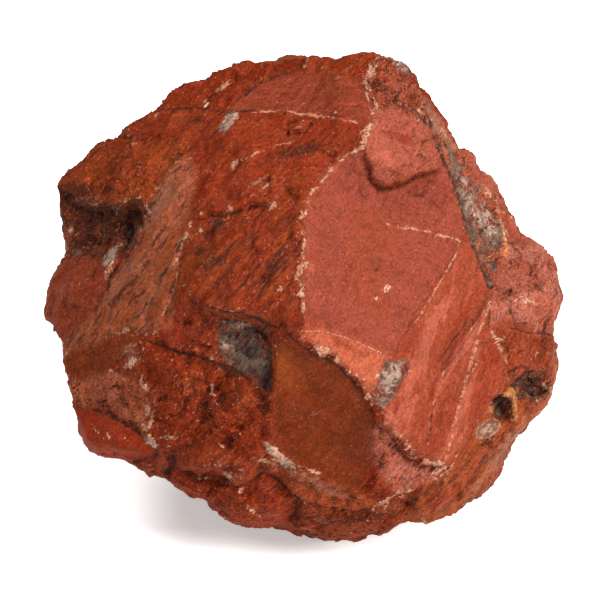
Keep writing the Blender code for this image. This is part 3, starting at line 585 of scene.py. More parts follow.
def ridge_samples(corners, faces, walls):
    """Points along every traced line, each with how sharply the surface folds out there."""
    beside = {}
    for face in faces:
        normal = geometry.normal([corners[c] for c in face[:3]])
        middle = sum((corners[c] for c in face), Vector()) / len(face)
        for a, b in zip(face, face[1:] + face[:1]):
            beside.setdefault(frozenset((a, b)), []).append((normal, middle))
    samples = []
    for wall in walls:
        a, b = (corners[c] for c in wall)
        (normal_a, middle_a), (normal_b, middle_b) = beside[wall]
        outward = (normal_a - normal_b).dot(middle_a - middle_b)
        fold = math.copysign(normal_a.angle(normal_b), outward)
        steps = max(1, int((b - a).length / RIDGE_STEP))
        samples += [(a.lerp(b, (k + 0.5) / steps), fold) for k in range(steps)]
    return samples


def reworked(mesh, kind, settings):
    """The mesh after one modifier."""
    holder = bpy.data.objects.new("helper", mesh)
    bpy.context.collection.objects.link(holder)
    modifier = holder.modifiers.new("helper", kind)
    for name, value in settings.items():
        setattr(modifier, name, value)
    shown = holder.evaluated_get(bpy.context.evaluated_depsgraph_get())
    result = bpy.data.meshes.new_from_object(shown)
    bpy.data.objects.remove(holder)
    bpy.data.meshes.remove(mesh)
    return result


def to_stone(point):
    """Turns the view upright: the sight line comes down at its angle, and +Z is up."""
    return Matrix.Rotation(math.radians(90 - SIGHT_DOWN_DEG), 3, "X") @ point


def to_view(point):
    """Turns an upright point back into the view."""
    return Matrix.Rotation(math.radians(SIGHT_DOWN_DEG - 90), 3, "X") @ point


def cut_flat(point):
    """Brings a point that lies beyond a fracture back on to it."""
    for azimuth, elevation, reach in BACK_FRACTURES:
        a, e = math.radians(azimuth), math.radians(elevation)
        normal = Vector((math.cos(a) * math.cos(e), math.sin(a) * math.cos(e), math.sin(e)))
        beyond = normal.dot(point) - reach
        if beyond > 0:
            point = point - normal * beyond
    return point


def rounded(distance, face):
    """How far a face bulges out at a distance from its nearest edge."""
    return face.dome * math.sin(math.pi / 2 * min(distance / face.shoulder, 1))


def turned(seen, degrees):
    """A point of the view in a frame turned by an angle: along it, across it, and its depth."""
    turn = math.radians(degrees)
    return Vector((
        seen.x * math.cos(turn) + seen.y * math.sin(turn),
        seen.y * math.cos(turn) - seen.x * math.sin(turn),
        seen.z,
    ))


def facet(spot, size, lean):
    """Height of a surface broken into small flat facets that each lean their own way."""
    middle = noise.voronoi(spot / size)[1][0]
    way = noise.cell_vector(middle * FACET_MIX) - Vector((0.5, 0.5, 0.5))
    return size * lean * way.dot(spot / size - middle)


def relief(seen, face, distance, fold):
    """The broken surface's own height over the flat face, in millimetres."""
    height = ROLL_HEIGHT * face.rough * noise.fractal(seen / ROLL_SIZE, 0.9, 2.0, 4)
    scoop = noise.voronoi(seen / SCOOP_SIZE)[0][0]
    height += SCOOP_HEIGHT * face.rough * (scoop * scoop - SCOOP_LEVEL)
    grained = turned(seen, GRAIN_DEG)
    longer = Vector((grained.x / FACET_LENGTH, grained.y, grained.z))
    height += min(face.rough, FACET_ROUGH) * facet(longer, FACET_SIZE, FACET_LEAN)
    if face is BACK:
        hollow = noise.voronoi(seen / HOLLOW_SIZE)[0][0]
        height += HOLLOW_HEIGHT * (hollow * hollow - HOLLOW_LEVEL)
    if face.rough > CRUMB_FROM:
        crumb = noise.voronoi(seen / CRUMB_SIZE)[0][0]
        height -= CRUMB_HEIGHT * (face.rough - 1) * crumb
    if face.grain:
        rib = Vector((grained.y / GRAIN_SIZE, grained.x / (GRAIN_LENGTH * GRAIN_SIZE), 3.0))
        height += face.grain * noise.fractal(rib, 1.0, 2.0, 2)
    if fold > 0:
        chip = max(0.0, noise.fractal(seen / CHIP_SIZE, 1.0, 2.0, 2) + CHIP_LEVEL)
        height -= CHIP_DEPTH * min(fold, 1.0) * chip * math.exp(-distance / CHIP_REACH)
    return height * min(1.0, EDGE_SHARE + (1 - EDGE_SHARE) * distance / EDGE_WIDTH)


def in_picture(seen):
    """Where points of the view lie in the picture, in millimetres from its middle."""
    grow = SIGHT_DISTANCE / (SIGHT_DISTANCE - seen[:, 2])
    return seen[:, :2] * grow[:, None]


def beside_line(spots, line):
    """How far points of the picture lie to the left of a traced line, less than nothing to its
    right, and how far they are from its nearer end, less than nothing beyond it."""
    course = np.array([sight_point(pixel) for pixel in line])
    lengths = np.hypot(*np.diff(course, axis=0).T)
    way = np.full(len(spots), np.inf)
    ends = np.zeros(len(spots))
    passed = 0.0
    for start, end, length in zip(course, course[1:], lengths):
        run = (end - start) / length
        along = (spots - start) @ run
        apart = spots - start - np.outer(np.clip(along, 0, length), run)
        distance = np.hypot(apart[:, 0], apart[:, 1])
        side = np.where(run[0] * apart[:, 1] < run[1] * apart[:, 0], -1, 1)
        closer = distance < np.abs(way)
        way[closer] = (side * distance)[closer]
        ends[closer] = np.minimum(passed + along, lengths.sum() - passed - along)[closer]
        passed += length
    return way, ends


def carved(seen):
    """What the small ledges and folds add to the height of points of the view."""
    spots = in_picture(seen)
    wander = [noise.fractal(Vector(spot) / WANDER_SIZE, 1.0, 2.0, 3) for spot in seen]
    height = np.zeros(len(seen))
    for rise, width, line in LEDGES:
        way, ends = beside_line(spots, line)
        way += np.multiply(wander, WANDER)
        shape = np.clip(way / LEDGE_DROP, 0, 1) * np.exp(-np.maximum(way, 0) / width)
        height += rise * shape * np.clip(ends / TAPER, 0, 1)
    for rise, width, line in FOLDS:
        way, ends = beside_line(spots, line)
        way += np.multiply(wander, WANDER)
        height += rise * np.exp(-np.abs(way) / width) * np.clip(ends / TAPER, 0, 1)
    return height


def stone_mesh(size):
    """The whole stone as one fine mesh in millimetres, upright and resting on its flat spot, and
    for each of its corners its face's name, the way to its nearest line, and that line's fold."""
    corners, faces, owner, ridges = closed_cage()
    mesh = bpy.data.meshes.new("cage")
    mesh.from_pydata(corners, [], faces)
    mesh = reworked(mesh, "REMESH", {"mode": "VOXEL", "voxel_size": size})
    cage = BVHTree.FromPolygons(corners, faces)
    nearest_ridge = KDTree(len(ridges))
    for k, (spot, _) in enumerate(ridges):
        nearest_ridge.insert(spot, k)
    nearest_ridge.balance()
    kinds = []
    for vertex in mesh.vertices:
        spot, normal, index, _ = cage.find_nearest(vertex.co)
        _, ridge, distance = nearest_ridge.find(spot)
        kinds.append((owner[index], distance, ridges[ridge][1]))
        bulge = rounded(distance, FACES.get(owner[index], BACK))
        vertex.co = to_stone(spot + normal * bulge)
    for vertex in mesh.vertices:
        vertex.co = cut_flat(vertex.co)
    mesh.update()
    heights = carved(np.array([to_view(vertex.co) for vertex in mesh.vertices]))
    for k, (vertex, (name, distance, fold)) in enumerate(zip(mesh.vertices, kinds)):
        if name == "back":
            heights[k] = 0
        heights[k] += relief(to_view(vertex.co), FACES.get(name, BACK), distance, fold)
    normals = [vertex.normal.copy() for vertex in mesh.vertices]
    for vertex, height, normal in zip(mesh.vertices, heights, normals):
        vertex.co += normal * float(height)
        vertex.co.z = max(vertex.co.z, -FLOOR_DEPTH)
    return mesh, kinds


# The stone's own colours, as linear light
COLOURS = {
    "dusty": (0.172, 0.033, 0.019),
    "fan": (0.198, 0.034, 0.015),
    "bloom": (0.225, 0.053, 0.032),
    "pale": (0.280, 0.088, 0.058),
    "brick": (0.151, 0.0145, 0.0025),
    "band": (0.151, 0.024, 0.010),
    "blood": (0.131, 0.0140, 0.0035),
    "umber": (0.128, 0.018, 0.006),
    "rust": (0.166, 0.026, 0.005),
    "russet": (0.200, 0.034, 0.010),
    "tan": (0.088, 0.013, 0.002),
    "heather": (0.285, 0.076, 0.036),
    "salmon": (0.330, 0.075, 0.036),
    "smoke": (0.078, 0.029, 0.015),
}


class Look:
    """What covers a face: its colour, how much it is streaked along the grain, how glossy, how
    gritty and how mottled it is, how much of it is quartz, and how much it is brushed level."""

    def __init__(
        self, colour, streak=0.0, gloss=0.3, grit=1.0, mottle=1.0, quartz=0.0, brush=0.0,
    ):
        self.colour = COLOURS[colour]
        self.marks = (streak, gloss, grit, mottle, brush, quartz)


LOOKS = {
    "peak_facet": Look("brick"),
    "back_band_top": Look("brick"),
    "upper_band": Look("band", gloss=0.4, grit=0.5, mottle=0.5, brush=1.0),
    "upper_left": Look("brick", streak=0.2, gloss=0.4, grit=0.7, mottle=0.7, brush=0.6),
    "block": Look("rust", mottle=1.2, grit=1.0),
    "left_pit": Look("smoke", gloss=0.4, grit=1.8, mottle=1.8, quartz=0.24),
    "left_lump": Look("band", gloss=0.4, grit=0.8),
    "brown_face": Look("heather", streak=1.0, gloss=0.4, grit=0.7),
    "orange_facet": Look("tan", gloss=0.3, grit=0.6),
    "left_lower": Look("heather", streak=0.2, grit=1.6, mottle=1.7),
    "lump_a": Look("brick", gloss=0.4, grit=0.3, mottle=0.7),
    "lump_d": Look("blood", gloss=0.5),
    "lump_b": Look("blood", streak=0.4, gloss=0.4, mottle=1.1),
    "lump_c": Look("brick", gloss=0.35, grit=1.3, mottle=1.4),
    "grainy": Look("brick", grit=1.5, mottle=1.4),
    "red_face": Look("blood", gloss=0.4),
    "recess": Look("smoke", gloss=0.5, grit=1.6, mottle=1.2, quartz=0.62),
    "recess_wall_top": Look("umber", quartz=0.25),
    "recess_wall_side": Look("umber", quartz=0.25),
    "center_left": Look("brick", streak=0.5, gloss=0.45, mottle=1.0, grit=0.9),
    "tan_face": Look("tan", gloss=0.4, grit=0.35, mottle=0.8),
    "notch": Look("blood"),
    "chip": Look("salmon", streak=0.3, gloss=0.35, grit=0.45, mottle=0.5),
    "grey_patch": Look("dusty", grit=1.6, quartz=0.62),
    "chips": Look("blood", grit=1.5),
    "pink_face": Look("dusty", gloss=0.3, grit=0.5, mottle=0.7),
    "fan_left": Look("fan", streak=0.15, gloss=0.4, grit=0.5, mottle=0.7),
    "fan_trough": Look("fan", streak=0.15, gloss=0.45, grit=0.5, mottle=0.8),
    "fan_right": Look("fan", streak=0.15, gloss=0.4, grit=0.5, mottle=0.7),
    "small_pink": Look("bloom", grit=0.8, brush=0.3),
    "ledge_riser": Look("umber"),
    "knobs": Look("bloom", grit=2.2, mottle=2.0),
    "back_band": Look("brick"),
    "shoulder": Look("bloom"),
    "vein_band": Look("heather", grit=1.5, mottle=1.4, quartz=0.5),
    "right_upper": Look("pale", grit=1.1, mottle=1.5),
    "right_lower": Look("band", grit=1.2, mottle=1.0),
    "bottom_right": Look("russet", streak=0.9, gloss=0.4),
    "upper_pit": Look("smoke", gloss=0.7, grit=2.0, mottle=1.4, quartz=0.26),
    "lower_pit": Look("umber", gloss=0.7, grit=1.6, mottle=1.6, quartz=0.3),
    "step_riser": Look("blood", grit=1.3),
    "lower_pink": Look("pale", streak=0.2, grit=1.3, mottle=1.7),
    "lower_chips": Look("brick", grit=1.3),
    "lip_notch": Look("umber"),
    "strip": Look("russet", streak=0.5, grit=1.1, mottle=1.2),
    "bottom_strip": Look("umber", streak=0.3, grit=1.4, mottle=1.8),
}
HIDDEN_LOOKS = [
    Look("heather", streak=0.9), Look("brick", mottle=1.2), Look("band", brush=0.8),
    Look("blood", gloss=0.4), Look("russet", streak=0.5), Look("dusty", mottle=0.8),
]

# Thin seams over the stone, one dark one a painted shadow line: their half width in millimetres
# and their course in the photograph
PALE_SEAMS = [
    (0.09, [(478, 343), (470, 372), (461, 400), (452, 436), (446, 458)]),
    (0.09, [(446, 362), (440, 385), (434, 404)]),
    (0.09, [(491, 300), (480, 318), (466, 338)]),
    (0.12, [(492, 332), (499, 346), (507, 362)]),
    (0.13, [(387, 223), (400, 227), (420, 230), (440, 235), (454, 238), (460, 242)]),
    (0.10, [(460, 242), (457, 252), (440, 283), (426, 305), (414, 325)]),
    (0.14, [(255, 112), (283, 111), (300, 114), (325, 116), (342, 119), (360, 124)]),
    (0.05, [(300, 331), (322, 331), (344, 337), (368, 347), (390, 357)]),
    (0.10, [(244, 160), (258, 152), (275, 146), (292, 142)]),
    (0.16, [(233, 168), (238, 160)]),
    (0.10, [(452, 430), (460, 400), (468, 370), (480, 330), (490, 305)]),
    (0.12, [(266, 443), (276, 452), (292, 463), (318, 473)]),
    (0.10, [(185, 236), (178, 258), (176, 280), (170, 300), (160, 318)]),
]
DARK_SEAMS_AND_SHADOW_LINE = [
    (0.22, [(429, 117), (440, 154), (456, 187), (467, 230), (481, 265), (491, 290)]),
    (0.14, [(163, 109), (201, 108), (228, 113), (255, 110)]),
    (0.16, [(228, 113), (240, 98), (255, 87), (275, 77), (295, 71)]),
    (0.14, [(248, 308), (262, 290), (280, 268), (300, 246)]),
    (0.12, [(225, 300), (245, 282), (262, 262)]),
    (0.16, [(145, 340), (178, 351), (209, 360), (239, 372), (268, 392)]),
    (0.12, [(492, 294), (490, 308), (489, 328)]),
    (0.12, [(508, 372), (520, 366), (533, 369)]),
    (0.07, [(512, 328), (530, 333), (553, 335)]),
    (0.10, [(434, 404), (431, 418), (431, 432)]),
    (0.10, [(466, 322), (452, 342), (441, 358)]),
    (0.25, [(290, 336), (300, 345), (312, 353), (326, 358), (340, 366), (352, 380), (364, 396)]),
    # Painted shadow line: this dark seam under the recess lip stands for the shade of its overhang
    (0.16, [(205, 307), (220, 310), (240, 312), (256, 318), (276, 328)]),
    (0.14, [(96, 410), (118, 420), (140, 434)]),
    (0.14, [(388, 100), (400, 101), (415, 110), (430, 128)]),
]

# Quartz: each patch's middle, half length, half width and tilt in the photograph, and its weight
QUARTZ = [
    (477, 218, 46, 10, -62, 0.7), (446, 146, 28, 4, -62, 0.8), (399, 66, 16, 5, -45, 0.9),
    (229, 121, 14, 6, 50, 1.0), (110, 256, 15, 5, 55, 1.0), (278, 456, 20, 5, -38, 1.0),
    (488, 430, 15, 8, 30, 1.0), (270, 202, 6, 4, 30, 0.6), (216, 222, 8, 5, 20, 0.6),
    (131, 364, 7, 5, 30, 0.7), (152, 443, 12, 3, -40, 0.8), (310, 232, 6, 4, 0, 0.6),
]
# The pale parts of it, in the same way
PALE_QUARTZ = [
    (247, 326, 12, 7, -10, 0.7), (476, 212, 34, 9, -60, 0.9), (488, 222, 20, 7, -70, 1.2),
    (466, 184, 14, 5, -60, 1.0), (399, 66, 16, 5, -45, 0.9), (391, 379, 24, 12, 65, 1.2),
    (226, 346, 7, 6, 0, 1.0), (226, 320, 8, 5, 40, 0.6), (258, 330, 14, 8, 20, 0.4),
    (229, 121, 16, 8, 45, 1.3), (110, 256, 16, 6, 55, 1.3), (92, 205, 24, 6, 8, 0.8),
    (278, 456, 24, 8, -38, 1.3), (488, 430, 15, 9, 30, 1.2), (131, 364, 12, 9, 30, 1.2),
    (152, 443, 14, 5, -40, 1.2), (272, 202, 9, 7, 30, 1.0),
]
# Dark stains and ochre stains, in the same way
STAINS = [
    (249, 352, 20, 6, -24, 1.3), (263, 338, 18, 3, -84, 1.0), (236, 338, 5, 7, 0, 0.7),
    (378, 84, 7, 5, 0, 1.0), (393, 92, 9, 5, -30, 1.0), (412, 97, 8, 4, -30, 1.0),
    (80, 192, 22, 9, -15, 1.2), (104, 190, 12, 6, 10, 0.9), (75, 208, 10, 8, 0, 1.0),
    (247, 351, 18, 5, -10, 1.3), (266, 374, 14, 8, -65, 1.1), (229, 334, 9, 3, 60, 0.9),
    (532, 384, 20, 12, 10, 1.2), (118, 228, 20, 12, 0, 1.3), (86, 243, 20, 9, 0, 1.2),
    (100, 215, 44, 16, 10, 1.1), (212, 262, 22, 8, 35, 1.0), (216, 223, 9, 5, 10, 1.3),
    (202, 251, 12, 5, 20, 1.2), (278, 252, 28, 3, 50, 1.2), (255, 283, 16, 3, 45, 1.0),
    (232, 245, 14, 4, 30, 0.8), (180, 250, 12, 5, 60, 0.8), (275, 268, 34, 6, 48, 0.9),
    (205, 305, 26, 7, 20, 0.7), (300, 150, 40, 8, 15, 0.7), (255, 85, 30, 5, 35, 0.7),
    (190, 120, 26, 6, 10, 0.7), (150, 210, 16, 9, 60, 0.8), (235, 372, 34, 8, -22, 0.9),
    (215, 400, 36, 18, 0, 0.7), (262, 400, 22, 7, -75, 0.8), (165, 470, 10, 5, -70, 1.0),
    (125, 447, 18, 4, -25, 0.7), (350, 520, 60, 7, 6, 0.8), (415, 500, 26, 6, 25, 0.9),
    (455, 470, 22, 5, 50, 0.6), (392, 400, 8, 6, 0, 0.7), (408, 110, 22, 7, -35, 0.9),
    (535, 385, 16, 12, 20, 1.0), (503, 411, 11, 11, 0, 1.1), (515, 250, 16, 5, -50, 0.7),
]
OCHRE = [
    (160, 300, 46, 12, 55, 0.7), (285, 370, 30, 16, -70, 0.8), (300, 180, 50, 18, 35, 0.5),
    (155, 160, 30, 14, 10, 0.6), (85, 362, 26, 10, 15, 0.6), (480, 470, 30, 8, 40, 0.5),
    (440, 100, 10, 4, -50, 0.6),
]

# Where the broken face is painted pale and where deep red. On the flutes of the fan, above all,
# this is painted light on the crests and painted shade in the troughs; elsewhere it is the stone's
# own pale and deep red tones
PALE_TONE_AND_FLUTE_LIGHT = [
    (385, 160, 20, 6, -72, 1.0), (418, 128, 14, 6, -40, 0.7), (311, 262, 52, 6, 89, 0.3),
    (394, 424, 18, 6, -58, 0.9), (395, 475, 20, 5, -80, 0.8), (545, 268, 20, 8, -70, 0.6),
    (330, 172, 16, 5, 40, 0.6), (424, 348, 62, 8, 67, 1.0), (404, 412, 26, 8, 60, 0.9),
    (467, 341, 34, 5, 57, 1.2), (459, 414, 42, 4, 70, 1.0), (478, 352, 12, 2, 72, 0.9),
    (461, 440, 24, 3, 68, 0.8), (446, 372, 20, 4, 66, 0.8), (503, 352, 14, 4, -60, 0.8),
]
DEEP_RED_AND_FLUTE_SHADE = [
    (292, 322, 14, 9, 0, 0.9), (402, 138, 18, 5, -20, 0.8), (345, 345, 30, 4, -28, 0.6),
    (240, 185, 34, 12, 40, 0.6), (260, 250, 40, 12, 50, 0.5), (216, 470, 16, 8, 20, 0.8),
    (110, 428, 20, 8, -25, 0.9), (440, 500, 20, 6, 30, 0.7), (441, 426, 38, 9, 68, 1.2),
    (487, 374, 44, 10, 77, 1.1), (464, 310, 34, 7, 62, 0.8), (446, 348, 18, 4, 56, 0.9),
    (405, 350, 16, 5, 68, 0.7), (432, 392, 20, 3, 70, 0.8), (474, 440, 16, 4, 55, 0.6),
]

# Greyish brown skin, partly painted greyish-pink sheen, and clusters of cream splinters, a few of
# them painted highlights, in the same way
FAWN_SKIN_AND_SHEEN = [
    (505, 450, 46, 9, 52, 1.0), (480, 482, 30, 5, 60, 0.8), (440, 126, 44, 6, -58, 1.0),
    (310, 480, 40, 5, -20, 0.9), (335, 494, 30, 4, -15, 0.8), (162, 204, 34, 10, 66, 0.9),
    (125, 275, 42, 7, 52, 0.9), (150, 300, 30, 4, 55, 0.7), (128, 352, 12, 8, 20, 1.0),
    (84, 198, 22, 9, 0, 0.5), (72, 232, 7, 6, 0, 0.9), (110, 395, 24, 6, 10, 0.6),
]
CREAM_AND_HIGHLIGHTS = [
    (228, 121, 13, 4, 55, 1.0), (133, 362, 11, 7, 35, 1.0), (117, 375, 10, 3, -35, 1.0),
    (146, 388, 8, 3, -50, 0.9), (148, 410, 14, 4, -82, 0.9), (143, 426, 8, 4, -40, 1.0),
    (152, 440, 12, 3, -38, 1.1), (170, 437, 10, 4, 0, 0.8), (228, 476, 8, 4, -60, 1.0),
    (204, 478, 12, 2, -8, 0.9), (241, 492, 8, 3, 75, 0.8), (266, 462, 14, 3, -14, 1.0),
    (282, 460, 17, 6, -36, 1.1), (314, 472, 9, 3, -10, 1.0), (252, 511, 13, 2, -36, 0.9),
    (371, 72, 9, 5, 70, 1.0), (368, 128, 9, 4, 45, 1.1), (388, 126, 5, 3, 0, 0.9),
    (344, 156, 10, 3, 30, 1.0), (322, 181, 6, 3, 55, 0.9), (302, 216, 12, 3, 42, 0.9),
    (432, 463, 15, 3, -10, 1.1), (437, 471, 9, 4, 0, 1.1), (408, 447, 11, 5, -60, 0.9),
    (378, 375, 12, 3, -55, 0.8), (122, 203, 10, 4, 20, 0.7), (96, 203, 8, 4, 30, 0.6),
    (70, 230, 6, 4, 0, 0.9), (110, 270, 15, 4, 58, 1.0), (388, 288, 6, 4, 40, 1.1),
    (376, 299, 8, 2, 15, 0.9), (187, 238, 9, 4, 20, 1.1), (176, 262, 11, 2, 66, 0.9),
    (171, 296, 9, 2, 80, 0.7), (157, 188, 5, 3, 0, 0.9), (234, 163, 5, 3, 20, 1.3),
    (156, 114, 6, 3, 50, 1.0), (128, 136, 8, 2, 40, 0.9), (225, 86, 13, 3, 35, 1.0),
    (206, 104, 6, 3, 60, 1.0), (266, 186, 10, 2, 35, 0.9), (252, 196, 6, 2, 25, 0.9),
    (273, 205, 7, 4, 60, 1.0), (528, 300, 10, 4, -30, 1.0), (514, 300, 6, 2, 55, 0.9),
    (487, 190, 8, 3, -60, 1.0), (502, 225, 20, 2, -78, 0.9), (498, 345, 18, 1.5, -62, 1.0),
    # Painted highlights: the thin streaks at (96, 430), (108, 436) and (128, 441) on the lower-left
    # lump
    (420, 112, 12, 2, -45, 0.9), (96, 430, 9, 1.2, -50, 1.2), (108, 436, 5, 1.4, -60, 1.2),
    (128, 441, 8, 1.2, -25, 1.0), (540, 410, 12, 1.5, 25, 0.9), (545, 385, 7, 1.5, -70, 1.0),
]

# Splintered edges: how far the chips reach in millimetres, and the edge they follow
CHIPPED = [
    (0.9, LINES["main_ridge"]),
    (0.8, LINES["chip_ridge"]),
    (0.8, LINES["chip_foot"]),
    (0.6, LINES["lip"]),
    (0.45, LINES["fan_right"]),
    (0.5, LINES["orange_top"]),
    (0.4, LINES["orange_low"]),
    (0.5, LINES["edge_mid"]),
    (0.4, LINES["brown_left"]),
    (0.4, LINES["tan_bottom"]),
    (0.5, LINES["strip_top"]),
    (0.6, [(385, 58), (400, 75), (415, 95), (432, 118), (448, 140)]),
    (0.6, [(492, 175), (500, 190), (505, 215), (508, 235)]),
    (0.5, [(161, 99), (172, 109), (185, 100), (203, 92), (215, 84)]),
    (0.5, LINES["lump_b_top"]),
    (0.4, LINES["block_top"]),
    (0.4, LINES["shoulder_ridge"]),
    (0.4, LINES["knobs_foot"]),
    (0.4, LINES["step_top"]),
    (1.1, [(118, 372), (131, 365), (140, 358)]),
    (0.9, [(140, 395), (147, 415), (154, 434), (160, 446)]),
    (1.0, [(262, 452), (278, 456), (296, 466), (318, 474)]),
    (0.8, [(392, 438), (408, 452), (420, 466), (438, 466)]),
    (0.7, [(480, 168), (490, 182), (497, 200)]),
]

# Amber glass and the little agate, as patches like those of the quartz
AMBER = [
    (512, 392, 9, 5, 30, 1.2), (515, 410, 14, 3, -82, 1.2), (505, 243, 26, 3, -84, 0.75),
    (492, 408, 7, 4, 40, 0.8),
]
AGATE = [(488, 429, 14, 8, 32, 1.0)]

# The finer form: its mesh, its roughness, its splits, and the ripples of the fan with their tilts
FINE_VOXEL = 0.42
FINE_HEIGHT = 0.05
FINE_SIZE = 1.1
SPLIT_SIZE = 1.4
SPLIT_LEAN = 0.27
SPLIT_ROUGH = 1.4
RIPPLED = {"fan_left": 62.0, "fan_trough": 68.0, "fan_right": 70.0}
RIPPLE_HEIGHT = 0.30
RIPPLE_SIZE = 2.0
RIPPLE_LENGTH = 12.0
RIPPLE_LEVEL = 0.3
# How far marks reach: seams to their sides and past their ends, patches past their edges, worn
# edges and the painted shade of creases down the faces and up to which fold, and the way to a
# seam where there is none
SEAM_REACH = 2
SEAM_TAPER = 0.8
PATCH_REACH = 1.5
EDGE_REACH = 0.4
EDGE_FOLD = 0.5
FAR = 1e3
# How broad the fields of colour on the hidden side are and how much they change, and how often and
# how strongly the colours of neighbouring faces run into each other
HIDDEN_SIZE = 20
HIDDEN_CHANGE = 5
BLUR_ROUNDS = 3
BLUR_SHARE = 0.6
# How much of the solid's box the finished stone may fill
FIT = 0.997
# The studio, in metres: where the lights look, how wide the floor is, how bright its paper and the
# surroundings are, and the width of the camera's film in millimetres
LIT_SPOT = (0, 0, 0.03)
FLOOR_SIZE = 6
PAPER_LIGHT = 0.42
WORLD_LIGHT = 0.25
FILM = 36


def seam_field(spots, seams):
    """Each point's signed way to its nearest seam, in half widths of it, and how much of the
    seam there is: none beyond its ends or far to its sides."""
    nearest = np.full(len(spots), FAR)
    amount = np.zeros(len(spots))
    for half_width, line in seams:
        way, ends = beside_line(spots, line)
        share = np.clip(SEAM_REACH - np.abs(way), 0, 1) * np.clip(1 + ends / SEAM_TAPER, 0, 1)
        closer = np.abs(way) / half_width < np.abs(nearest)
        nearest[closer] = way[closer] / half_width
        amount[closer] = share[closer]
    return nearest, amount


def patch_field(spots, patches):
    """How deep inside the nearest patch each point lies: its weight at the middle, nothing at
    PATCH_REACH times as far out as the edge."""
    depth = np.zeros(len(spots))
    for x, y, half_length, half_width, tilt, weight in patches:
        turn = math.radians(tilt)
        offset = (spots - sight_point((x, y))) / MM_PER_PIXEL
        along = offset[:, 0] * math.cos(turn) + offset[:, 1] * math.sin(turn)
        across = offset[:, 1] * math.cos(turn) - offset[:, 0] * math.sin(turn)
        reach = np.hypot(along / half_length, across / half_width)
        depth = np.maximum(depth, weight * np.clip(1 - reach / PATCH_REACH, 0, 1))
    return depth


def neighbour_mean(values, edges, count):
    """Each corner's average over the corners it shares an edge with."""
    total = np.zeros((count, values.shape[1]))
    shared = np.zeros(count)
    for a, b in ((0, 1), (1, 0)):
        np.add.at(total, edges[:, a], values[edges[:, b]])
        np.add.at(shared, edges[:, a], 1)
    return total / shared[:, None]


def bend(spots, normals, edges):
    """How sharply the surface folds at each corner: positive on ridges, negative in creases."""
    away = spots - neighbour_mean(spots, edges, len(spots))
    fold = (away * normals).sum(axis=1, keepdims=True)
    fold = (fold + neighbour_mean(fold, edges, len(spots))) / 2
    return fold[:, 0]


def fine_relief(mesh, kinds):
    """Adds the small splits, ripples and roughness that the solid leaves out."""
    normals = [vertex.normal.copy() for vertex in mesh.vertices]
    for vertex, (name, _, _), normal in zip(mesh.vertices, kinds, normals):
        if vertex.co.z < REST_BAND - FLOOR_DEPTH:
            continue
        rough = FACES.get(name, BACK).rough
        seen = to_view(vertex.co)
        split = turned(seen, GRAIN_DEG)
        split.x /= FACET_LENGTH
        height = FINE_HEIGHT * noise.fractal(vertex.co / FINE_SIZE, 0.8, 2.0, 3)
        height += facet(split, SPLIT_SIZE, SPLIT_LEAN)
        height *= min(rough, SPLIT_ROUGH)
        if name in RIPPLED:
            ripple = turned(seen, RIPPLED[name])
            ripple = Vector((ripple.x / RIPPLE_SIZE / RIPPLE_LENGTH, ripple.y / RIPPLE_SIZE, 1.0))
            height += RIPPLE_HEIGHT * (RIPPLE_LEVEL - abs(noise.fractal(ripple, 1.0, 2.0, 2)))
        vertex.co += normal * height


def spot_array(mesh, what="co"):
    """Each corner's place, or its normal, as one array."""
    flat = np.empty(3 * len(mesh.vertices))
    mesh.vertices.foreach_get(what, flat)
    return flat.reshape(-1, 3)


def add_marks(mesh, name, values):
    """Stores one number for each corner, for the material to read."""
    mesh.attributes.new(name, "FLOAT", "POINT").data.foreach_set("value", values)


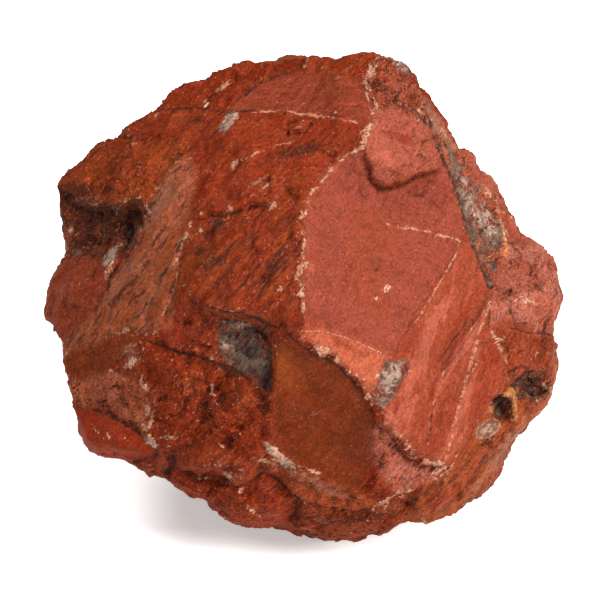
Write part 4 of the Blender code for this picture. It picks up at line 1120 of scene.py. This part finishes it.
def lay_marks(mesh, kinds):
    """Works out what colour and marks each corner carries."""
    upright = spot_array(mesh)
    turn = np.array(Matrix.Rotation(math.radians(SIGHT_DOWN_DEG - 90), 3, "X"))
    seen = upright @ turn.T
    spots = in_picture(seen)
    hidden = np.array([name == "back" for name, _, _ in kinds])
    # The hidden side carries the same kinds of marks, laid out the other way round
    around = np.where(hidden[:, None], -spots, spots)
    edges = np.empty(2 * len(mesh.edges), int)
    mesh.edges.foreach_get("vertices", edges)
    edges = edges.reshape(-1, 2)
    count = len(mesh.vertices)

    covers = []
    for spot, (name, _, _) in zip(upright, kinds):
        look = LOOKS.get(name)
        if look is None:
            change = HIDDEN_CHANGE * noise.fractal(Vector(spot) / HIDDEN_SIZE, 1.0, 2.0, 2)
            pick = int(change + len(HIDDEN_LOOKS) / 2)
            look = HIDDEN_LOOKS[min(len(HIDDEN_LOOKS) - 1, max(0, pick))]
        covers.append(look.colour + look.marks)
    covers = np.array(covers)
    for _ in range(BLUR_ROUNDS):
        covers += BLUR_SHARE * (neighbour_mean(covers, edges, count) - covers)
    colour = np.column_stack([covers[:, :3], np.ones(count)])
    mesh.attributes.new("tint", "FLOAT_COLOR", "POINT").data.foreach_set("color", colour.ravel())
    streak, gloss, grit, mottle, brush, face_quartz = covers[:, 3:].T
    for name, values in (
        ("streak", streak), ("gloss", gloss), ("grit", grit), ("mottle", mottle), ("brush", brush),
    ):
        add_marks(mesh, name, np.ascontiguousarray(values))
    distances = np.array([distance for _, distance, _ in kinds])
    folds = np.array([fold for _, _, fold in kinds])
    owners = [FACES.get(name, BACK) for name, _, _ in kinds]
    folds -= np.array([2 * face.dome / face.shoulder for face in owners])
    add_marks(mesh, "edge", np.clip(folds / EDGE_FOLD, -1, 1) * np.exp(-distances / EDGE_REACH))

    for kind, seams in (("pale_seam", PALE_SEAMS), ("dark_seam_and_shadow_line", DARK_SEAMS_AND_SHADOW_LINE)):
        way, amount = seam_field(around, seams)
        add_marks(mesh, kind, way)
        add_marks(mesh, kind + "_amount", amount)
    way, amount = seam_field(spots, CHIPPED)
    amount[hidden] = 0
    add_marks(mesh, "chipped", amount * np.exp(-way * way))
    ripples = np.array([name in RIPPLED for name, _, _ in kinds], float)
    add_marks(mesh, "rippled", neighbour_mean(ripples[:, None], edges, count)[:, 0])
    for kind, patches in (
        ("quartz", QUARTZ), ("pale_quartz", PALE_QUARTZ), ("stain", STAINS), ("ochre", OCHRE),
        ("pale_tone_and_flute_light", PALE_TONE_AND_FLUTE_LIGHT), ("deep_red_and_flute_shade", DEEP_RED_AND_FLUTE_SHADE), ("fawn_skin_and_sheen", FAWN_SKIN_AND_SHEEN), ("cream_and_highlight", CREAM_AND_HIGHLIGHTS),
        ("amber", AMBER), ("agate", AGATE),
    ):
        depth = patch_field(around, patches)
        if kind in ("amber", "agate"):
            depth[hidden] = 0
        if kind == "quartz":
            depth = np.maximum(depth, face_quartz)
        add_marks(mesh, kind, depth)
    add_marks(mesh, "bend", bend(upright, spot_array(mesh, "normal"), edges))


class Nodes:
    """Builds the stone's material, node by node. Sizes are in millimetres."""

    def __init__(self, material):
        self.tree = material.node_tree
        where = self.tree.nodes.new("ShaderNodeTexCoord").outputs["Object"]
        self.where = self.scaled(where, (1000, 1000, 1000))

    def add(self, kind, inputs=(), **settings):
        node = self.tree.nodes.new(kind)
        for name, value in settings.items():
            setattr(node, name, value)
        for key, value in dict(inputs).items():
            self.put(value, node.inputs[key])
        return node

    def put(self, value, socket):
        if isinstance(value, bpy.types.NodeSocket):
            self.tree.links.new(value, socket)
        else:
            socket.default_value = value

    def scaled(self, vector, factors):
        node = self.add("ShaderNodeVectorMath", {0: vector, 1: factors}, operation="MULTIPLY")
        return node.outputs["Vector"]

    def drawn_out(self, degrees, stretch):
        """The place on the stone, drawn out along one direction of the view."""
        turn = Matrix.Rotation(math.radians(90 - SIGHT_DOWN_DEG), 3, "X")
        turn = turn @ Matrix.Rotation(math.radians(degrees), 3, "Z")
        level = self.add("ShaderNodeMapping", {"Vector": self.where})
        level.inputs["Rotation"].default_value = turn.inverted().to_euler()
        return self.scaled(level.outputs["Vector"], (1 / stretch, 1.0, 1.0))

    def mark(self, name, kind="Fac"):
        """What the corners carry under a name."""
        return self.add("ShaderNodeAttribute", attribute_name=name).outputs[kind]

    def math(self, operation, *values):
        """One sum, product or other step of arithmetic."""
        node = self.add("ShaderNodeMath", dict(enumerate(values)), operation=operation)
        return node.outputs["Value"]

    def times(self, value, *others):
        for other in others:
            value = self.math("MULTIPLY", value, other)
        return value

    def plus(self, value, *others):
        for other in others:
            value = self.math("ADD", value, other)
        return value

    def swing(self, pattern, strength):
        """A pattern as a change up and down from nothing."""
        return self.times(self.math("SUBTRACT", pattern, 0.5), strength)

    def torn(self, name, pattern, strength):
        """A mark whose edge is torn up by a pattern."""
        return self.plus(self.mark(name), self.swing(pattern, strength))

    def noise(self, size, detail=3.0, rough=0.55, where=None, warp=0.0):
        """Cloudy noise between 0 and 1, with features of about this size."""
        node = self.add("ShaderNodeTexNoise", {
            "Vector": where or self.where, "Scale": 1 / size, "Detail": detail,
            "Roughness": rough, "Distortion": warp,
        })
        return node.outputs["Fac"]

    def cells(self, size, feature="F1", where=None):
        """The way to the nearest of many scattered spots, or to the edge between two."""
        node = self.add(
            "ShaderNodeTexVoronoi", {"Vector": where or self.where, "Scale": 1 / size},
            feature=feature,
        )
        return node.outputs["Distance"]

    def between(self, value, low, high, to_low=0.0, to_high=1.0):
        """Eases from one value to another while the pattern goes from low to high."""
        node = self.add("ShaderNodeMapRange", {
            "Value": value, "From Min": low, "From Max": high,
            "To Min": to_low, "To Max": to_high,
        }, interpolation_type="SMOOTHSTEP")
        return node.outputs["Result"]

    def blend(self, share, first, second, kind="MIX"):
        node = self.add("ShaderNodeMix", {"Factor": share}, data_type="RGBA", blend_type=kind)
        for k, ink in enumerate((first, second)):
            self.put(ink + (1.0,) if isinstance(ink, tuple) else ink, node.inputs[6 + k])
        return node.outputs[2]

    def over(self, base, pattern, start, full, ink, *factors):
        """Lays a colour over the base where the pattern goes from start to full, as strongly as
        the factors say."""
        return self.blend(self.times(self.between(pattern, start, full), *factors), base, ink)


def jasper_material():
    """The stone's material, laid from the broad colours down to the grain."""
    material = bpy.data.materials.new("red_jasper")
    material.use_nodes = True
    surface = material.node_tree.nodes["Principled BSDF"]
    n = Nodes(material)
    base = n.mark("tint", "Color")
    streak, gloss, grit, mottle, brush, rippled = [
        n.mark(name) for name in ("streak", "gloss", "grit", "mottle", "brush", "rippled")
    ]

    grain_way = n.drawn_out(GRAIN_DEG - 8, 7.0)
    patches = n.noise(8.0, 4, 0.6)
    blotches = n.noise(2.4, 5, 0.68, warp=0.4)
    flecks = n.noise(0.6, 4, 0.75)
    grain = n.noise(0.32, 3, 0.65)
    bumps = n.noise(1.7, 4, 0.62)
    streaks = n.noise(1.1, 5, 0.65, grain_way)
    strands = n.noise(0.30, 3, 0.6, grain_way)
    ripples = n.noise(1.5, 4, 0.65, n.drawn_out(68, 16.0))
    brushed = n.noise(0.42, 4, 0.65, n.drawn_out(4, 9.0))
    waves = n.add("ShaderNodeTexNoise", {"Vector": n.where, "Scale": 0.5}).outputs["Color"]
    warped = n.add("ShaderNodeVectorMath", {0: grain_way, 1: n.scaled(waves, (3.0, 3.0, 3.0))})
    cracks = n.cells(4.5, "DISTANCE_TO_EDGE", warped.outputs["Vector"])
    # Splintery steps: a slope along the grain that drops back sharply, again and again
    steps = n.math("FRACT", n.times(n.noise(2.4, 4, 0.55, grain_way), 9.0))

    # Height of the finest roughness, in millimetres
    rough = n.plus(
        n.times(bumps, 0.70), n.times(n.cells(0.9), 0.10), n.times(grain, 0.06),
        n.times(steps, 0.20),
    )
    relief = n.plus(
        n.times(rough, grit), n.times(streaks, n.plus(streak, 0.35)), n.times(strands, 0.06),
        n.times(ripples, rippled, 0.7), n.times(brushed, brush, 0.22),
    )

    # Broad changes of red, then dark blotches and a pale bloom
    base = n.over(base, patches, 0.46, 0.66, (0.165, 0.026, 0.006), mottle, 0.5)
    base = n.over(base, patches, 0.50, 0.34, (0.115, 0.013, 0.005), mottle, 0.4)
    base = n.over(base, blotches, 0.53, 0.72, (0.044, 0.011, 0.006), mottle, 0.5)
    base = n.over(base, blotches, 0.46, 0.30, (0.200, 0.036, 0.016), mottle, 0.4)

    # Streaks of ochre and brown along the grain
    stringy = n.plus(streak, 0.15)
    base = n.over(base, streaks, 0.51, 0.58, (0.215, 0.044, 0.008), streak, 0.8)
    base = n.over(base, streaks, 0.47, 0.39, (0.048, 0.016, 0.009), streak, 0.85)
    base = n.over(base, strands, 0.58, 0.68, (0.300, 0.074, 0.022), stringy, 0.65)
    base = n.over(base, strands, 0.42, 0.28, (0.040, 0.010, 0.006), stringy, 0.5)

    # Flutes and ripples of the conchoidal fan, with painted light on their crests and
    # painted shade in their troughs, and level brush marks
    for name, ink in (
        ("deep_red_and_flute_shade", (0.150, 0.017, 0.006)), ("pale_tone_and_flute_light", (0.262, 0.062, 0.037)),
    ):
        base = n.over(base, n.torn(name, ripples, 1.6), 0.22, 0.50, ink, 0.7)
    # Painted light on the crests of the ripples and painted shade in their troughs
    base = n.over(base, ripples, 0.54, 0.60, (0.290, 0.062, 0.030), rippled, 0.4)
    base = n.over(base, ripples, 0.46, 0.40, (0.150, 0.017, 0.006), rippled, 0.4)
    base = n.over(base, brushed, 0.52, 0.66, (0.245, 0.042, 0.020), brush, 0.55)
    base = n.over(base, brushed, 0.47, 0.34, (0.075, 0.010, 0.004), brush, 0.5)

    # Ochre and dark stains
    stain = n.torn("stain", n.noise(1.3, 7, 0.82, grain_way), 3.2)
    base = n.over(base, n.torn("ochre", blotches, 1.4), 0.30, 0.75, (0.180, 0.036, 0.005), 0.7)
    base = n.over(base, stain, 0.46, 0.68, (0.036, 0.011, 0.006), 0.78)

    # Fine grain: pale and dark flecks, and painted shade in the hollows and painted light on
    # the tops of the bumps
    many = n.between(mottle, 0.6, 1.8, 0.15, 0.70)
    base = n.over(base, flecks, 0.57, 0.62, (0.280, 0.048, 0.014), many)
    many = n.between(mottle, 0.6, 1.8, 0.20, 0.75)
    base = n.over(base, flecks, 0.43, 0.38, (0.046, 0.009, 0.005), many)
    # Painted shade in the hollows of the bumps, then painted light on their tops
    base = n.over(base, bumps, 0.50, 0.30, (0.036, 0.008, 0.004), grit, 0.4)
    base = n.over(base, bumps, 0.54, 0.72, (0.250, 0.040, 0.014), grit, 0.35)

    # Painted highlights on the crests of the steps and painted shadow at their feet, and
    # hairline cracks
    some = n.times(n.between(n.noise(2.2, 4, 0.7), 0.46, 0.58), grit)
    # Painted highlight on each step's crest, then painted shadow at its foot
    base = n.over(base, steps, 0.86, 0.97, (0.300, 0.070, 0.026), some, 0.6)
    base = n.over(base, steps, 0.16, 0.03, (0.040, 0.008, 0.004), grit, 0.6)
    base = n.over(base, cracks, 0.022, 0.006, (0.028, 0.008, 0.005), some, 0.7)

    # Quartz: smoky glass with pale crystals and threads of red jasper
    glassy = n.noise(0.8, 5, 0.8)
    pale_crystal = n.plus(n.times(n.mark("pale_quartz"), 0.5), n.swing(glassy, 1.6))
    cloud = n.noise(2.6, 5, 0.7, warp=0.5)
    thread = n.noise(2.0, 6, 0.75, warp=0.9)
    smoke = n.over((0.034, 0.014, 0.008), cloud, 0.42, 0.60, (0.110, 0.062, 0.040))
    smoke = n.over(smoke, pale_crystal, 0.16, 0.50, (0.290, 0.190, 0.140))
    smoke = n.over(smoke, glassy, 0.44, 0.34, (0.022, 0.012, 0.008))
    smoke = n.over(smoke, glassy, 0.62, 0.70, (0.380, 0.290, 0.210), 0.7)
    smoke = n.over(smoke, thread, 0.53, 0.59, (0.105, 0.013, 0.005))
    quartz = n.between(n.torn("quartz", n.noise(2.6, 7, 0.75, warp=0.8), 2.4), 0.36, 0.46)
    base = n.blend(n.times(quartz, 0.94), base, smoke)

    # Amber glass, and the agate with its rings
    glass = n.over((0.170, 0.055, 0.012), glassy, 0.35, 0.65, (0.440, 0.165, 0.055))
    base = n.over(base, n.torn("amber", flecks, 1.2), 0.32, 0.55, glass)
    rings = n.math("FRACT", n.plus(n.times(n.mark("agate"), 1.9), n.times(glassy, 2.4)))
    banded = n.over((0.120, 0.036, 0.018), rings, 0.25, 0.75, (0.270, 0.160, 0.095))
    base = n.over(base, n.torn("agate", glassy, 0.6), 0.28, 0.40, banded)

    # Brown skin and painted sheen, stained quartz, cream splinters and a few painted highlights,
    # pinholes, and painted glints
    # Painted sheen: greyish-pink patches, laid partly over real brown skin
    skin_and_sheen = n.torn("fawn_skin_and_sheen", n.noise(0.9, 7, 0.85, grain_way), 3.4)
    base = n.over(base, skin_and_sheen, 0.40, 0.68, (0.230, 0.092, 0.056), 0.6)
    base = n.over(base, stain, 0.46, 0.68, (0.014, 0.007, 0.005), 0.78, quartz)
    # Cream splinters, with a few painted highlights laid in the same cream
    cream_and_highlight = n.torn("cream_and_highlight", n.noise(0.8, 6, 0.85, grain_way, warp=0.6), 4.0)
    ivory = n.over((0.260, 0.095, 0.050), grain, 0.35, 0.65, (0.440, 0.270, 0.175))
    base = n.over(base, cream_and_highlight, 0.58, 0.72, ivory, 0.85)
    tiny = n.noise(0.30, 3, 0.6)
    thick = n.between(n.noise(3.0, 4, 0.7), 0.42, 0.60, 0.25, 1.0)
    base = n.over(base, tiny, 0.36, 0.30, (0.030, 0.008, 0.005), thick, 0.7)
    # Painted highlights: pale glints, fewer on the smoother faces
    thick = n.times(thick, n.between(grit, 0.3, 0.9, 0.3, 1.0))
    base = n.over(base, tiny, 0.635, 0.69, (0.420, 0.175, 0.105), thick, 0.7)

    # Seams, thin and broken; one dark seam is a painted shadow line under the recess lip
    wander = n.swing(n.noise(2.0, 5, 0.75), 7.0)
    width = n.between(n.noise(0.7, 4, 0.7), 0.38, 0.66, 0.2, 2.2)
    gaps = n.noise(1.2, 5, 0.8)
    for kind, ink, closed, whole, strength in (
        ("dark_seam_and_shadow_line", (0.026, 0.012, 0.008), 0.36, 0.50, 0.9),
        ("pale_seam", (0.350, 0.160, 0.095), 0.43, 0.53, 0.85),
    ):
        way = n.math("DIVIDE", n.math("ABSOLUTE", n.plus(n.mark(kind), wander)), width)
        amount = n.times(n.mark(kind + "_amount"), n.between(gaps, closed, whole))
        base = n.over(base, way, 1.4, 0.5, ink, amount, strength)

    # Worn edges and the creases: pale splinters on the edges, and painted shade darkening
    # the creases
    fold = n.mark("bend")
    edge = n.mark("edge")
    crumbs = n.noise(0.6, 5, 0.8)
    splinter = n.between(n.plus(
        n.times(fold, 5.0), n.swing(crumbs, 2.2), n.swing(n.noise(4.0, 3, 0.6), 2.2),
        n.times(n.mark("chipped"), 0.42), n.times(edge, 0.22),
    ), 0.66, 0.84)
    pale = n.over((0.270, 0.095, 0.050), grain, 0.4, 0.6, (0.370, 0.200, 0.130))
    base = n.blend(n.times(splinter, 0.85), base, pale)
    # Painted shade: the creases are darkened where shade falls
    crease_shade = n.plus(n.times(fold, -6.0), n.swing(crumbs, 0.8), n.times(edge, -0.7))
    base = n.over(base, crease_shade, 0.25, 0.8, (0.030, 0.008, 0.005), 0.8)

    fine = n.between(grain, 0.25, 0.75, 0.72, 1.28)
    grain_tone = n.add("ShaderNodeCombineColor", {"Red": fine, "Green": fine, "Blue": fine})
    base = n.blend(1.0, base, grain_tone.outputs["Color"], "MULTIPLY")
    n.put(base, surface.inputs["Base Color"])

    # How dull and how shiny it is
    dull = n.plus(
        0.68, n.times(gloss, -0.42), n.swing(blotches, 0.3), n.times(quartz, -0.2),
    )
    n.put(n.math("MAXIMUM", dull, 0.0), surface.inputs["Roughness"])
    shine = n.plus(0.005, n.times(gloss, gloss, 0.15), n.times(quartz, 0.12))
    n.put(shine, surface.inputs["Specular IOR Level"])
    surface.inputs["IOR"].default_value = 1.54

    height = n.plus(relief, n.times(splinter, 0.06))
    bump = n.add("ShaderNodeBump", {"Height": height, "Distance": 0.001, "Strength": 1.0})
    n.put(bump.outputs["Normal"], surface.inputs["Normal"])
    return material


def fitted(mesh):
    """Turns the mesh into metres, in the solid's place and just inside its box, and returns where
    the middle of the view went."""
    spots = spot_array(mesh)
    low, high = spots.min(axis=0), spots.max(axis=0)
    solid_low, solid_high = solid_box
    own_middle = Vector(((low[0] + high[0]) / 2, (low[1] + high[1]) / 2, low[2]))
    place = Vector((
        (solid_low.x + solid_high.x) / 2, (solid_low.y + solid_high.y) / 2, solid_low.z,
    ))
    room = min(
        (solid_high[k] - solid_low[k]) * 1000 / (high[k] - low[k]) for k in range(3)
    )
    scale = float(0.001 * min(1.0, room) * FIT)
    mesh.transform(
        Matrix.Translation(place) @ Matrix.Scale(scale, 4) @ Matrix.Translation(-own_middle)
    )
    return lambda point: place + scale * (point - own_middle)


def stone_piece():
    """The dressed stone, and where its making frame went."""
    mesh, kinds = stone_mesh(FINE_VOXEL)
    mesh.update()
    fine_relief(mesh, kinds)
    mesh.update()
    lay_marks(mesh, kinds)
    placed = fitted(mesh)
    mesh.name = "jasper_surface"
    mesh.materials.append(jasper_material())
    mesh.shade_smooth()
    piece = bpy.data.objects.new("jasper_surface", mesh)
    bpy.context.collection.objects.link(piece)
    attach(piece, "root")
    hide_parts("jasper_stone")
    return placed


def camera(placed):
    """The camera, where the photograph was taken from."""
    data = bpy.data.cameras.new("camera")
    data.sensor_width = FILM
    data.lens = FILM * SIGHT_DISTANCE / (2 * PHOTO_MIDDLE * MM_PER_PIXEL)
    holder = bpy.data.objects.new("camera", data)
    holder.location = placed(to_stone(Vector((0, 0, SIGHT_DISTANCE))))
    holder.rotation_euler = (math.radians(90 - SIGHT_DOWN_DEG), 0, 0)
    bpy.context.collection.objects.link(holder)
    bpy.context.scene.camera = holder


def softbox(name, place, size, power):
    """A round soft light that looks at the stone."""
    data = bpy.data.lights.new(name, "AREA")
    data.shape = "DISK"
    data.size = size
    data.energy = power
    holder = bpy.data.objects.new(name, data)
    holder.location = place
    holder.rotation_euler = (Vector(LIT_SPOT) - Vector(place)).to_track_quat("-Z", "Y").to_euler()
    bpy.context.collection.objects.link(holder)


def studio():
    """The pale floor, the soft lights and the white surroundings."""
    world = bpy.data.worlds.new("studio")
    world.use_nodes = True
    around = world.node_tree.nodes["Background"]
    around.inputs["Color"].default_value = (1, 1, 1, 1)
    around.inputs["Strength"].default_value = WORLD_LIGHT
    bpy.context.scene.world = world
    softbox("key", (0.50, -0.28, 0.46), 0.42, 11.6)
    softbox("fill", (-0.30, 0.00, 0.60), 0.40, 4.0)
    bpy.ops.mesh.primitive_plane_add(size=FLOOR_SIZE)
    floor = bpy.context.object
    floor.name = "floor"
    material = bpy.data.materials.new("white_paper")
    material.use_nodes = True
    paper = material.node_tree.nodes["Principled BSDF"]
    paper.inputs["Base Color"].default_value = (0.93, 0.93, 0.92, 1)
    paper.inputs["Roughness"].default_value = 0.9
    paper.inputs["Emission Color"].default_value = (1, 1, 1, 1)
    paper.inputs["Emission Strength"].default_value = PAPER_LIGHT
    floor.data.materials.append(material)
    bpy.context.scene.view_settings.view_transform = "Standard"


camera(stone_piece())
studio()
